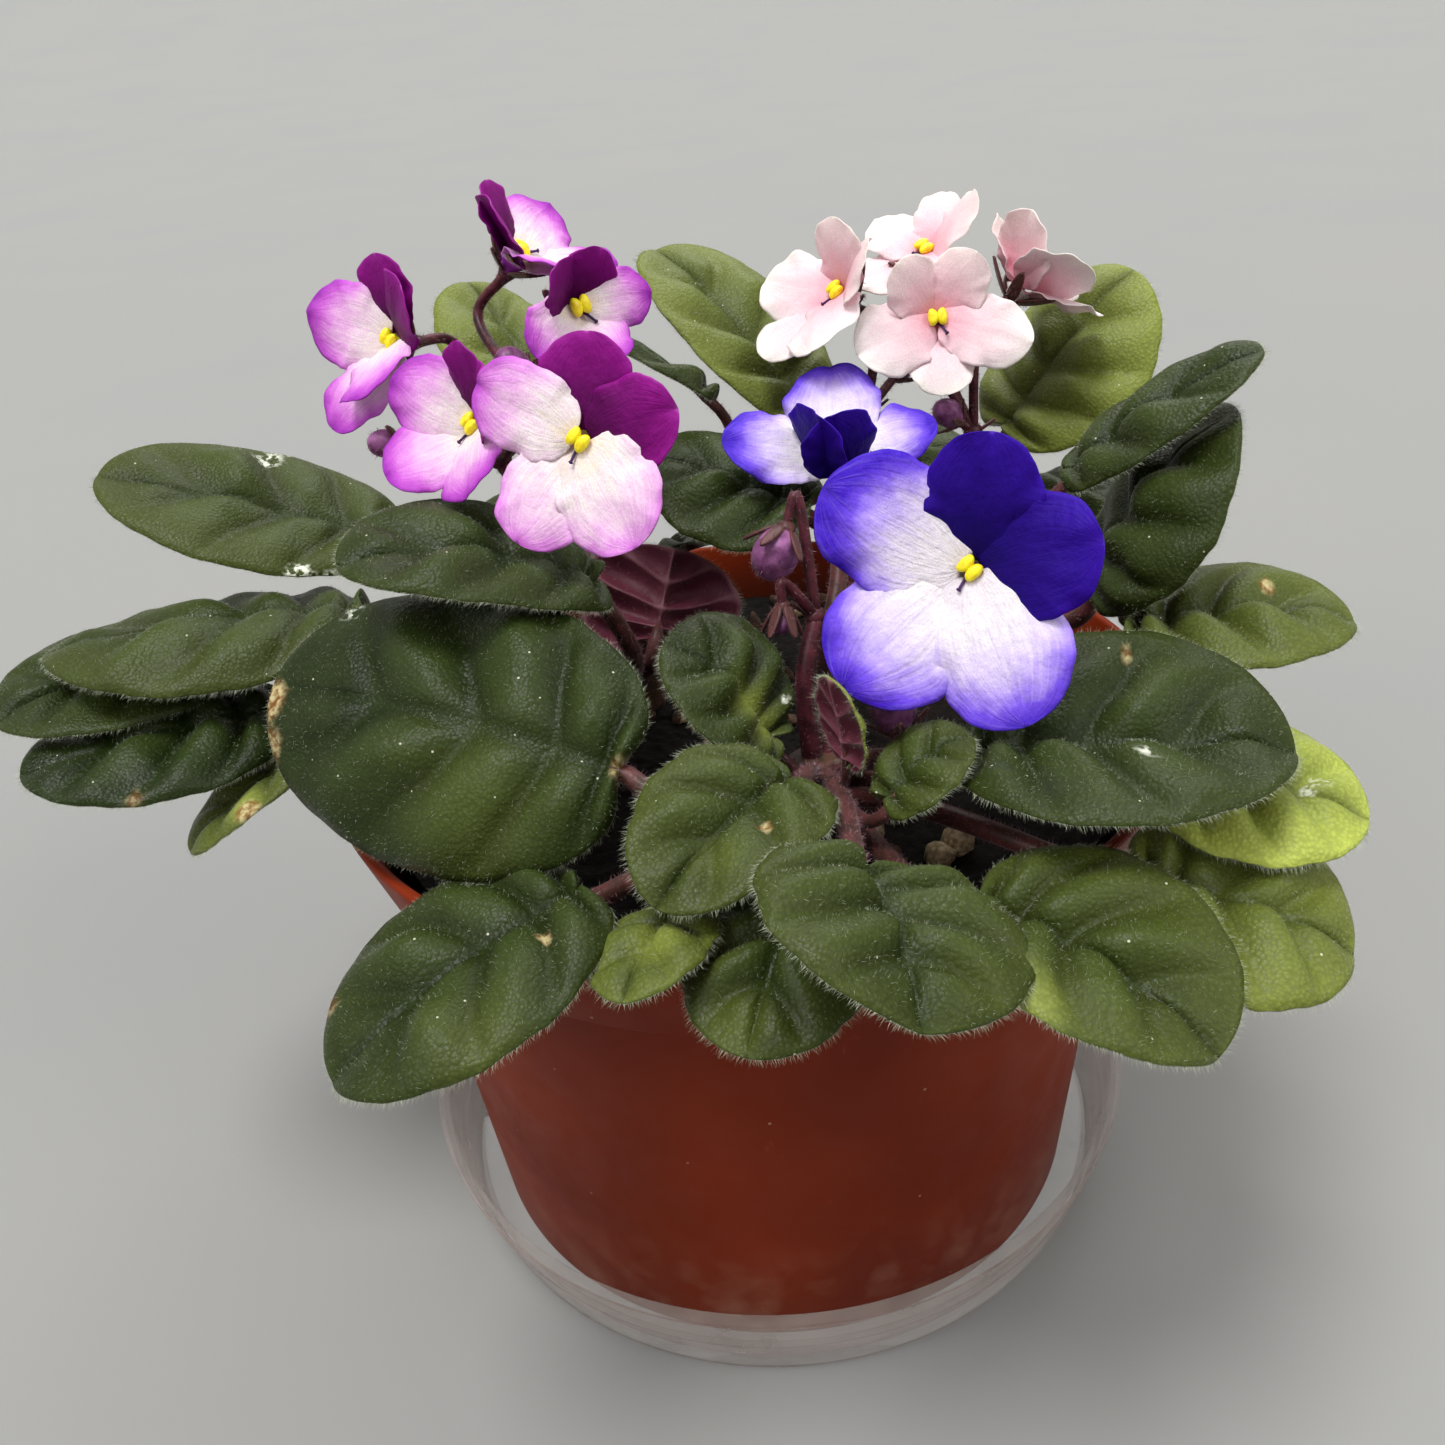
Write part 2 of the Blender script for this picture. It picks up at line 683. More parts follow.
def lump(centre: Array, radii: Vec, rough: float, rng: np.random.Generator) -> Part:
    """A rough closed lump, such as a soil grain.

    Args:
        centre: its middle.
        radii: half sizes along its own axes, which are turned at random.
        rough: how rough it is, as a share of its size.
        rng: seeded draw.

    Returns:
        Points and quads.
    """
    rows, columns = 7, 10
    lat, lon = globe(rows, columns)
    ball = np.stack([np.sin(lat) * np.cos(lon), np.sin(lat) * np.sin(lon), np.cos(lat) + 0 * lon], -1)
    # each lump takes its dents from a place of its own in the noise
    dents = wrinkle(ball * 10 + rng.uniform(0, 900, 3), 9.0)
    ball = ball * (1 + rough * dents)[..., None] * np.array(radii)
    axes = np.linalg.qr(rng.normal(0, 1, (3, 3)))[0]
    return (ball @ axes + centre).reshape(-1, 3), grid_faces(rows, columns, flip=True, closed=True)


# ------------------------------------------------------------------ materials
# Inputs go by number where a node repeats their names. Mix: 0 factor, 6 and 7 the two colours.
# MapRange: 0 value, 1 and 2 the range it comes from, 3 and 4 the range it goes to, 0 to 1 by default.
COLOUR = {"data_type": "RGBA", "output": 2}
MULTIPLY = {"operation": "MULTIPLY"}
DARKEN = {**COLOUR, "blend_type": "MULTIPLY"}


def add_node(tree: bpy.types.NodeTree, kind: str, inputs: dict, output: int | str = 0,
             **settings: object) -> Link:
    """Adds a shader node with its settings and links.

    Args:
        tree: the material's node tree.
        kind: the node's type, without its ShaderNode prefix.
        inputs: what each input gets, by its name or number: an output socket, a hex colour or a value.
        output: the output to give back.
        settings: properties of the node; stops are the (place, hex colour) pairs of a colour ramp.

    Returns:
        The output socket.
    """
    made = tree.nodes.new("ShaderNode" + kind)
    for index, (place, colour) in enumerate(settings.pop("stops", ())):
        elements = made.color_ramp.elements
        stop = elements[index] if index < len(elements) else elements.new(place)
        stop.position, stop.color = place, linear(colour)
    for key, value in settings.items():
        setattr(made, key, value)
    for key, value in inputs.items():
        if isinstance(value, bpy.types.NodeSocket):
            tree.links.new(value, made.inputs[key])
        else:
            made.inputs[key].default_value = linear(value) if isinstance(value, str) else value
    return made.outputs[output]


@dataclass
class Coat:
    """A material while it is being made: its nodes, its paint values and its shader."""

    name: str

    def __post_init__(self) -> None:
        """Starts the material."""
        self.material = bpy.data.materials.new(self.name)
        self.material.use_nodes = True
        self.tree = self.material.node_tree
        self.shader = self.tree.nodes["Principled BSDF"]
        self.add: Callable[..., Link] = partial(add_node, self.tree)
        self.place = self.add("TexCoord", {}, "Object")

    def lumps(self, size: float, detail: float | None = None, **inputs: object) -> dict:
        """Inputs of a texture whose cells or lumps are this many millimetres."""
        inputs = {"Vector": self.place, "Scale": 1 / (size * MM), **inputs}
        return inputs if detail is None else {**inputs, "Detail": detail}

    def paint(self) -> list[Link]:
        """The four painted values of the mesh."""
        values = self.add("Attribute", {}, "Color", attribute_name="paint")
        strength = self.add("Attribute", {}, "Alpha", attribute_name="paint")
        parts = self.add("SeparateColor", {0: values}).node.outputs
        return [*parts, strength]

    def finish(self, bumps: Sequence[tuple[Link, float, float]] = (), through: float = 0.0,
               **values: object) -> bpy.types.Material:
        """Sets the shader and stacks its bumps.

        Args:
            bumps: (height, strength, depth in millimetres) of each layer.
            through: share of the light that passes on through the surface, scattered.
            values: what each shader input gets, with _ for each space of its name.

        Returns:
            The material.
        """
        normal = None
        for height, strength, depth in bumps:
            layer = {"Height": height, "Strength": strength, "Distance": depth * MM}
            normal = self.add("Bump", layer if normal is None else {**layer, "Normal": normal})
        if normal is not None:
            values["Normal"] = normal
        for key, value in values.items():
            socket = self.shader.inputs[key.replace("_", " ")]
            if isinstance(value, bpy.types.NodeSocket):
                self.tree.links.new(value, socket)
            else:
                socket.default_value = linear(value) if isinstance(value, str) else value
        if through:
            glow = self.add("BsdfTranslucent", {0: values["Base_Color"]})
            both = self.add("MixShader", {0: through, 1: self.shader.outputs[0], 2: glow})
            self.tree.links.new(both, self.tree.nodes["Material Output"].inputs[0])
        return self.material


@dataclass(frozen=True)
class LeafFinish:
    """Living leaf, upper face: waxy green cells that dome up like fine leather, under clear hairs."""

    name: str = "african_violet_leaf"
    crest: str = "#2d3a16"
    green: str = "#172207"
    crease: str = "#1a2805"
    bloom: str = "#323d1c"
    young: str = "#acb852"
    frost: str = "#d9dccb"
    withered: str = "#c3b383"
    burnt: str = "#7a4a22"
    dust: str = "#cfcdb6"
    cell: float = 0.62
    speck_pitch: float = 4.2

    def material(self) -> bpy.types.Material:
        """Paint: quilting height, nearness to the margin, yellowing, dead tissue."""
        coat = Coat(self.name)
        add, (crest, rim, young, dead) = coat.add, coat.paint()
        patches = add("TexNoise", coat.lumps(8.0, 3.0))
        fine = add("TexNoise", coat.lumps(1.3, 4.0))
        cells = add("TexVoronoi", coat.lumps(self.cell))
        # the crests are the palest, and the flanks between crest and crease the deepest green
        base = add("ValToRGB", {0: crest}, stops=((0.0, self.crease), (0.25, self.green), (0.85, self.crest)))
        greyer = add("MapRange", {0: patches, 1: 0.45, 2: 0.75, 4: 0.3})
        edge = add("Math", {0: rim, 1: 0.4}, **MULTIPLY)
        for share, colour in ((greyer, self.bloom), (edge, self.bloom), (young, self.young)):
            base = add("Mix", {0: share, 6: base, 7: colour}, **COLOUR)
        # each dome catches the light, so its middle is paler than the furrow round it
        dome = add("MapRange", {0: cells, 1: 0.0, 2: 0.65, 3: 1.12, 4: 0.8})
        base = add("Mix", {0: 1.0, 6: base, 7: dome}, **DARKEN)
        # dust lies in specks, dead tissue is burnt and withered, and its negative paint is frost
        specks = add("TexVoronoi", coat.lumps(self.speck_pitch))
        specks = add("MapRange", {0: specks, 1: 0.05, 2: 0.035, 4: 0.75})
        scorch = add("MapRange", {0: fine, 1: 0.42, 2: 0.6})
        scar = add("Mix", {0: scorch, 6: self.burnt, 7: self.withered}, **COLOUR)
        rime = add("MapRange", {0: dead, 1: -0.05, 2: -0.7})
        flakes = add("MapRange", {0: fine, 1: 0.46, 2: 0.56})
        rime = add("Math", {0: rime, 1: flakes}, **MULTIPLY)
        for share, colour in ((specks, self.dust), (dead, scar), (rime, self.frost)):
            base = add("Mix", {0: share, 6: base, 7: colour}, **COLOUR)
        rough = add("MapRange", {0: fine, 1: 0.3, 2: 0.7, 3: 0.34, 4: 0.48})
        bumps = ((patches, 0.15, 0.7), (cells, 0.8, -0.15))
        return coat.finish(bumps, Base_Color=base, Roughness=rough, Specular_IOR_Level=0.16)


@dataclass(frozen=True)
class LeafUnderFinish:
    """Living leaf, lower face: maroon flesh between paler raised veins, duller than the upper face."""

    name: str = "african_violet_leaf_underside"
    flesh: str = "#4a1626"
    pale: str = "#6b3040"
    vein: str = "#8d5f68"
    cell: float = 0.8

    def material(self) -> bpy.types.Material:
        """Paint as on the upper face."""
        coat = Coat(self.name)
        add, crest = coat.add, coat.paint()[0]
        patches = add("TexNoise", coat.lumps(5.0, 4.0))
        cells = add("TexVoronoi", coat.lumps(self.cell))
        base = add("Mix", {0: patches, 6: self.flesh, 7: self.pale}, **COLOUR)
        veins = add("MapRange", {0: crest, 1: 0.2, 2: 0.02, 4: 0.85})
        base = add("Mix", {0: veins, 6: base, 7: self.vein}, **COLOUR)
        bumps = ((patches, 0.3, 0.5), (cells, 0.4, -0.15))
        return coat.finish(bumps, Base_Color=base, Roughness=0.55, Specular_IOR_Level=0.3,
                           Sheen_Weight=0.1, Sheen_Roughness=0.4)


@dataclass(frozen=True)
class HairFinish:
    """Leaf and stalk hair: single clear cells that the light turns to a pale fuzz."""

    name: str
    dull: str
    pale: str

    def material(self) -> bpy.types.Material:
        """A little variety from hair to hair."""
        coat = Coat(self.name)
        tufts = coat.add("TexNoise", coat.lumps(1.5, 2.0))
        base = coat.add("Mix", {0: tufts, 6: self.dull, 7: self.pale}, **COLOUR)
        return coat.finish(Base_Color=base, Roughness=0.45, Subsurface_Weight=0.3,
                           Subsurface_Radius=(1.0, 1.0, 1.0), Subsurface_Scale=0.3 * MM)


@dataclass(frozen=True)
class PetalFinish:
    """Living petal: thin translucent flesh over fan-shaped veins, with a sparkle from its domed cells."""

    name: str
    stops: Stops
    vein: str
    veining: float = 0.3
    relief: float = 1.0
    through: float = 0.18
    fan: Pair = (26.0, 3.2)
    cell: float = 0.3

    def material(self) -> bpy.types.Material:
        """Paint: reach from the throat, place across, nearness to the edge, and depth of colour."""
        coat = Coat(self.name)
        add, (reach, across, _, depth) = coat.add, coat.paint()
        spread = add("Math", {0: across, 1: self.fan[0]}, **MULTIPLY)
        stretch = add("Math", {0: reach, 1: self.fan[1]}, **MULTIPLY)
        # noise drawn out along the petal and pinched at its root makes the fan of veins
        fan = add("CombineXYZ", {0: spread, 1: stretch})
        veins = add("TexNoise", {"Vector": fan, "Scale": 1.0, "Detail": 5.0, "Distortion": 0.4})
        blotches = add("TexNoise", coat.lumps(3.0, 4.0))
        crumple = add("TexNoise", coat.lumps(1.2, 4.0))
        cells = add("TexVoronoi", coat.lumps(self.cell))
        # the colour runs in along the veins and thins out between them
        run = add("MapRange", {0: veins, 1: 0.25, 2: 0.75, 3: -0.06, 4: 0.06})
        pool = add("MapRange", {0: blotches, 1: 0.25, 2: 0.75, 3: -0.08, 4: 0.08})
        place = add("Math", {0: add("Math", {0: depth, 1: run}), 1: pool})
        base = add("ValToRGB", {0: place}, stops=self.stops)
        lines = add("MapRange", {0: veins, 1: 0.5, 2: 0.68, 4: self.veining})
        base = add("Mix", {0: lines, 6: base, 7: self.vein}, **COLOUR)
        sparkle = add("MapRange", {0: cells, 1: 0.0, 2: 0.6, 3: 1.08, 4: 0.9})
        base = add("Mix", {0: 1.0, 6: base, 7: sparkle}, **DARKEN)
        bumps = ((veins, 0.4 * self.relief, 0.4), (crumple, 0.5 * self.relief, 0.4),
                 (cells, 0.25, -0.06))
        return coat.finish(bumps, through=self.through, Base_Color=base, Roughness=0.5,
                           Specular_IOR_Level=0.1)


@dataclass(frozen=True)
class StalkFinish:
    """Living stalk: smooth fleshy skin, dark wine red, with a violet bud skin where it is painted."""

    name: str = "african_violet_stalk"
    dark: str = "#320f17"
    warm: str = "#5e2730"
    green: str = "#5a5a2c"
    sepal: str = "#5c3a33"
    bud: tuple[str, str] = ("#5b2350", "#9a5f92")

    def material(self) -> bpy.types.Material:
        """Paint: greenness, brownness of the sepals, and bud skin."""
        coat = Coat(self.name)
        add, (green, sepal, bud, _) = coat.add, coat.paint()
        patches = add("TexNoise", coat.lumps(2.6, 4.0))
        fine = add("TexNoise", coat.lumps(0.7, 2.0))
        streaks = add("MapRange", {0: patches, 1: 0.35, 2: 0.65})
        base = add("Mix", {0: streaks, 6: self.dark, 7: self.warm}, **COLOUR)
        skin = add("Mix", {0: streaks, 6: self.bud[0], 7: self.bud[1]}, **COLOUR)
        for share, colour in ((green, self.green), (sepal, self.sepal), (bud, skin)):
            base = add("Mix", {0: share, 6: base, 7: colour}, **COLOUR)
        return coat.finish(((fine, 0.3, 0.2),), Base_Color=base, Roughness=0.45, Specular_IOR_Level=0.3,
                           Sheen_Weight=0.1, Sheen_Roughness=0.4, Subsurface_Weight=0.1,
                           Subsurface_Scale=0.8 * MM)


@dataclass(frozen=True)
class PollenFinish:
    """Pollen sac: smooth, waxy and bright yellow, warmer in its folds."""

    name: str = "pollen_sac"
    warm: str = "#ecc900"
    bright: str = "#fff01c"

    def material(self) -> bpy.types.Material:
        """Two yellows in patches of a millimetre."""
        coat = Coat(self.name)
        fine = coat.add("TexNoise", coat.lumps(0.9, 3.0))
        base = coat.add("ValToRGB", {0: fine}, stops=((0.3, self.warm), (0.6, self.bright)))
        return coat.finish(((fine, 0.3, 0.12),), Base_Color=base, Roughness=0.42, Subsurface_Weight=0.3,
                           Subsurface_Radius=(1.0, 1.0, 1.0), Subsurface_Scale=0.4 * MM)


@dataclass(frozen=True)
class PotFinish:
    """Polypropylene, injection moulded in a terracotta colour: even satin skin, a little scuffed."""

    name: str = "polypropylene_terracotta"
    body: str = "#7a280b"
    deep: str = "#661e07"
    dust: str = "#b08a74"
    scuff: str = "#a9583a"
    peat: str = "#1d120c"
    dust_top: float = 30.0
    dust_full: float = 3.0

    def material(self) -> bpy.types.Material:
        """Flow marks, scuffs, specks, and a film of dust near the foot. Paint: peat film inside."""
        coat = Coat(self.name)
        add, peat = coat.add, coat.paint()[0]
        height = add("SeparateXYZ", {0: coat.place}, "Z")
        flow = add("TexNoise", coat.lumps(45.0, 2.0))
        cloud = add("TexNoise", coat.lumps(7.0, 7.0))
        flow = add("MapRange", {0: flow, 1: 0.35, 2: 0.65})
        base = add("Mix", {0: flow, 6: self.body, 7: self.deep}, **COLOUR)
        low = add("MapRange", {0: height, 1: self.dust_top * MM, 2: self.dust_full * MM, 4: 0.35})
        film = add("MapRange", {0: cloud, 1: 0.45, 2: 0.75})
        film = add("Math", {0: film, 1: low}, **MULTIPLY)
        flat = add("Mapping", {0: coat.place, "Scale": (1.0, 1.0, 0.4), "Rotation": (0.0, 0.5, 0.0)})
        marks = add("TexNoise", coat.lumps(3.0, 6.0, Vector=flat, Roughness=0.7))
        marks = add("MapRange", {0: marks, 1: 0.66, 2: 0.74, 4: 0.4})
        specks = add("TexVoronoi", coat.lumps(7.0))
        specks = add("MapRange", {0: specks, 1: 0.045, 2: 0.03, 4: 0.7})
        patchy = add("MapRange", {0: cloud, 1: 0.2, 2: 0.5, 3: 0.6, 4: 1.0})
        peat = add("Math", {0: peat, 1: patchy}, **MULTIPLY)
        for share, colour in ((film, self.dust), (marks, self.scuff), (specks, self.dust), (peat, self.peat)):
            base = add("Mix", {0: share, 6: base, 7: colour}, **COLOUR)
        rough = add("MapRange", {0: cloud, 1: 0.3, 2: 0.7, 3: 0.4, 4: 0.55})
        skin = add("TexNoise", coat.lumps(0.7, 2.0))
        return coat.finish(((skin, 0.12, 0.08),), Base_Color=base, Roughness=rough, Specular_IOR_Level=0.09)


@dataclass(frozen=True)
class SaucerFinish:
    """Polypropylene, clear, thermoformed: glossy, slightly milky, with a haze of scratches and dust."""

    name: str = "clear_polypropylene"
    milk: str = "#d8cdc5"
    film: str = "#94867c"

    def material(self) -> bpy.types.Material:
        """Milky and half see-through, with cloudy haze in the gloss."""
        coat = Coat(self.name)
        add = coat.add
        cloud = add("TexNoise", coat.lumps(8.0, 7.0))
        haze = add("MapRange", {0: cloud, 1: 0.45, 2: 0.7, 4: 0.6})
        base = add("Mix", {0: haze, 6: self.milk, 7: self.film}, **COLOUR)
        rough = add("MapRange", {0: cloud, 1: 0.3, 2: 0.7, 3: 0.12, 4: 0.3})
        wave = add("TexNoise", coat.lumps(14.0, 1.0))
        # seen edge on, the milkiness adds up, so rim and ledge show as pale lines
        edge = add("LayerWeight", {0: 0.5}, "Facing")
        cover = add("MapRange", {0: edge, 1: 0.35, 2: 0.95, 3: 0.14, 4: 0.7})
        return coat.finish(((wave, 0.15, 0.5),), Base_Color=base, Roughness=rough,
                           Transmission_Weight=0.55, IOR=1.49, Alpha=cover)


@dataclass(frozen=True)
class PeatFinish:
    """Peat potting mix: dark, damp and fibrous."""

    name: str = "peat_mix"
    wet: str = "#0a0604"
    dry: str = "#160e08"
    fibre: str = "#35271a"

    def material(self) -> bpy.types.Material:
        """Crumbs and fibres a millimetre or two across."""
        coat = Coat(self.name)
        fibre = coat.add("TexNoise", coat.lumps(1.6, 7.0, Roughness=0.65))
        stops = ((0.42, self.wet), (0.62, self.dry), (0.75, self.fibre))
        base = coat.add("ValToRGB", {0: fibre}, stops=stops)
        return coat.finish(((fibre, 0.9, 1.3),), Base_Color=base, Roughness=0.85, Specular_IOR_Level=0.2)


@dataclass(frozen=True)
class GrainFinish:
    """Loose grain in the mix, such as perlite or bark: dry, matt and pitted."""

    name: str
    light: str
    dark: str

    def material(self) -> bpy.types.Material:
        """Two tones in patches of a millimetre."""
        coat = Coat(self.name)
        pits = coat.add("TexNoise", coat.lumps(0.9, 5.0))
        base = coat.add("ValToRGB", {0: pits}, stops=((0.38, self.dark), (0.6, self.light)))
        return coat.finish(((pits, 0.7, 0.4),), Base_Color=base, Roughness=0.85)


@dataclass(frozen=True)
class PaperFinish:
    """Studio background paper: plain, pale and matt."""

    name: str = "studio_paper"
    colour: str = "#8b8a86"
    cooler: str = "#868787"

    def material(self) -> bpy.types.Material:
        """One colour with the faintest drift in it."""
        coat = Coat(self.name)
        drift = coat.add("TexNoise", coat.lumps(200.0, 3.0))
        base = coat.add("Mix", {0: drift, 6: self.colour, 7: self.cooler}, **COLOUR)
        return coat.finish(Base_Color=base, Roughness=0.9)


LIGHT_PETALS: dict[str, PetalFinish] = {
    "a": PetalFinish("petal_white_to_magenta", vein="#e39ce6", veining=0.12, stops=(
        (0.0, "#fcecd6"), (0.14, "#fff3f3"), (0.34, "#fad0f1"), (0.55, "#e895e8"), (0.75, "#ce5cd6"),
        (1.0, "#a42fb8"))),
    "b": PetalFinish("petal_white_to_violet", vein="#cbb2f0", veining=0.12, relief=1.5, stops=(
        (0.0, "#f0e4ec"), (0.16, "#f8f1f5"), (0.36, "#e4d4f8"), (0.56, "#b59af5"), (0.76, "#7650e6"),
        (1.0, "#4620c8"))),
    "c": PetalFinish("petal_pale_pink", vein="#f9b9c8", veining=0.2, relief=0.5, through=0.22, stops=(
        (0.0, "#f8a0b8"), (0.16, "#fcc4d2"), (0.42, "#ffe2e8"), (0.75, "#fff0f1"), (1.0, "#fffaf2"))),
}
DARK_PETALS: dict[str, PetalFinish] = {
    "a": PetalFinish("petal_plum", vein="#52054a", stops=(
        (0.0, "#450340"), (0.35, "#6a0660"), (0.7, "#900f84"), (0.9, "#a8269e"), (1.0, "#c458be"))),
    "b": PetalFinish("petal_indigo", vein="#1c046a", stops=(
        (0.0, "#18045c"), (0.35, "#25087e"), (0.7, "#310c98"), (0.92, "#3c12ac"), (1.0, "#683ed0"))),
    "c": PetalFinish("petal_pink", vein="#f9b9c8", veining=0.2, relief=0.5, through=0.22, stops=(
        (0.0, "#f8a0b8"), (0.2, "#fcc2d0"), (0.5, "#ffe2e6"), (0.85, "#fff0ec"), (1.0, "#fffaee"))),
}


# ------------------------------------------------------------------ sub-assemblies
def stand_in(piece: bpy.types.Object, slot_name: str, *nodes: str) -> None:
    """Lets a piece stand for CAD nodes.

    Args:
        piece: the finer piece.
        slot_name: the record's material slot.
        nodes: CAD nodes that it replaces.
    """
    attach(piece, ROOT)
    if nodes:
        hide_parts(*nodes)
    LOG.info("%s: %d faces", piece.name, len(piece.data.polygons))


class Mark(Enum):
    """What a blemish on a leaf is."""

    WITHERED = "withered"
    FROST = "frost"
    YELLOW = "yellow"


@dataclass(frozen=True)
class LeafMark:
    """A blemish: its kind, its place in shares of the spine and the half width, its radius and strength."""

    kind: Mark
    along: float
    across: float
    radius: float
    strength: float


# how young and yellow a leaf is, where it isn't as the others
YOUTH = {
    "leaf_front_small": 0.25, "leaf_front_low": 0.06, "leaf_right_yellow": 1.0, "leaf_right_low": 0.4,
    "leaf_front_right": 0.12, "leaf_front_heart": 0.08, "leaf_left_small": 0.2, "leaf_front_folded": 0.1,
    "leaf_front_left_low": 0.03, "leaf_centre_bract": 0.5, "leaf_back_left": 0.4, "leaf_back_right": 0.5,
    "leaf_back_centre": 0.35, "leaf_right_middle": 0.22, "leaf_under_bloom": 0.1, "leaf_left_upper": 0.1,
    "leaf_left_middle": 0.08, "leaf_left_lower": 0.0, "leaf_front_left_large": 0.01,
}
# the blemishes of each leaf that has any
MARKS: dict[str, tuple[LeafMark, ...]] = {
    "leaf_front_left_large": (
        LeafMark(Mark.WITHERED, 0.985, 0.12, 3.2, 0.85), LeafMark(Mark.WITHERED, 0.95, 0.42, 2.6, 0.75),
        LeafMark(Mark.WITHERED, 0.0, 0.0, 1.4, 0.45), LeafMark(Mark.WITHERED, 0.22, 0.97, 1.3, 0.8),
        LeafMark(Mark.FROST, 0.86, -0.62, 1.4, 0.7), LeafMark(Mark.YELLOW, 0.3, 0.55, 14.0, 0.08)),
    "leaf_left_upper": (
        LeafMark(Mark.FROST, 0.5, -0.72, 2.4, 0.9), LeafMark(Mark.FROST, 0.47, -0.9, 2.2, 0.9),
        LeafMark(Mark.FROST, 0.25, 0.9, 2.2, 0.9), LeafMark(Mark.FROST, 0.14, 0.9, 2.4, 0.8)),
    "leaf_left_middle": (LeafMark(Mark.FROST, 0.15, -0.95, 2.0, 0.7),),
    "leaf_left_lower": (
        LeafMark(Mark.FROST, 0.95, -0.5, 3.0, 0.8), LeafMark(Mark.FROST, 0.86, -0.85, 2.6, 0.7),
        LeafMark(Mark.FROST, 0.98, 0.25, 2.0, 0.8), LeafMark(Mark.WITHERED, 0.6, 0.9, 1.4, 0.5)),
    "leaf_left_small": (
        LeafMark(Mark.WITHERED, 0.5, 0.85, 2.0, 0.8), LeafMark(Mark.YELLOW, 0.5, 0.6, 4.0, 0.6)),
    "leaf_front_left_low": (
        LeafMark(Mark.WITHERED, 0.9, -0.6, 1.6, 0.6), LeafMark(Mark.WITHERED, 0.2, 0.35, 0.9, 0.8),
        LeafMark(Mark.YELLOW, 0.55, 0.85, 9.0, 0.1)),
    "leaf_front_right": (
        LeafMark(Mark.YELLOW, 0.45, -0.98, 5.0, 0.5), LeafMark(Mark.YELLOW, 0.2, -0.9, 5.0, 0.5)),
    "leaf_front_low": (
        LeafMark(Mark.YELLOW, 0.9, -0.2, 6.0, 0.15), LeafMark(Mark.YELLOW, 0.5, -0.7, 6.0, 0.15)),
    "leaf_front_small": (LeafMark(Mark.YELLOW, 0.5, 0.2, 5.0, 0.45),),
    "leaf_front_heart": (LeafMark(Mark.YELLOW, 0.8, 0.5, 8.0, 0.1),),
    "leaf_front_folded": (
        LeafMark(Mark.YELLOW, 0.7, 0.3, 6.0, 0.12), LeafMark(Mark.WITHERED, 0.45, 0.4, 0.8, 0.8)),
    "leaf_centre_dark": (
        LeafMark(Mark.YELLOW, 0.25, 0.1, 5.0, 0.55), LeafMark(Mark.FROST, 0.12, -0.35, 0.6, 0.9)),
    "leaf_right_yellow": (
        LeafMark(Mark.FROST, 0.75, 0.2, 1.3, 0.5), LeafMark(Mark.FROST, 0.7, 0.05, 1.0, 0.5)),
    "leaf_right_large": (
        LeafMark(Mark.WITHERED, 0.5, 0.75, 0.9, 0.8), LeafMark(Mark.FROST, 0.55, -0.4, 0.9, 0.6)),
    "leaf_right_middle": (LeafMark(Mark.WITHERED, 0.62, 0.3, 1.1, 0.9),),
    "leaf_right_low": (LeafMark(Mark.FROST, 0.3, -0.5, 1.4, 0.4),),
}


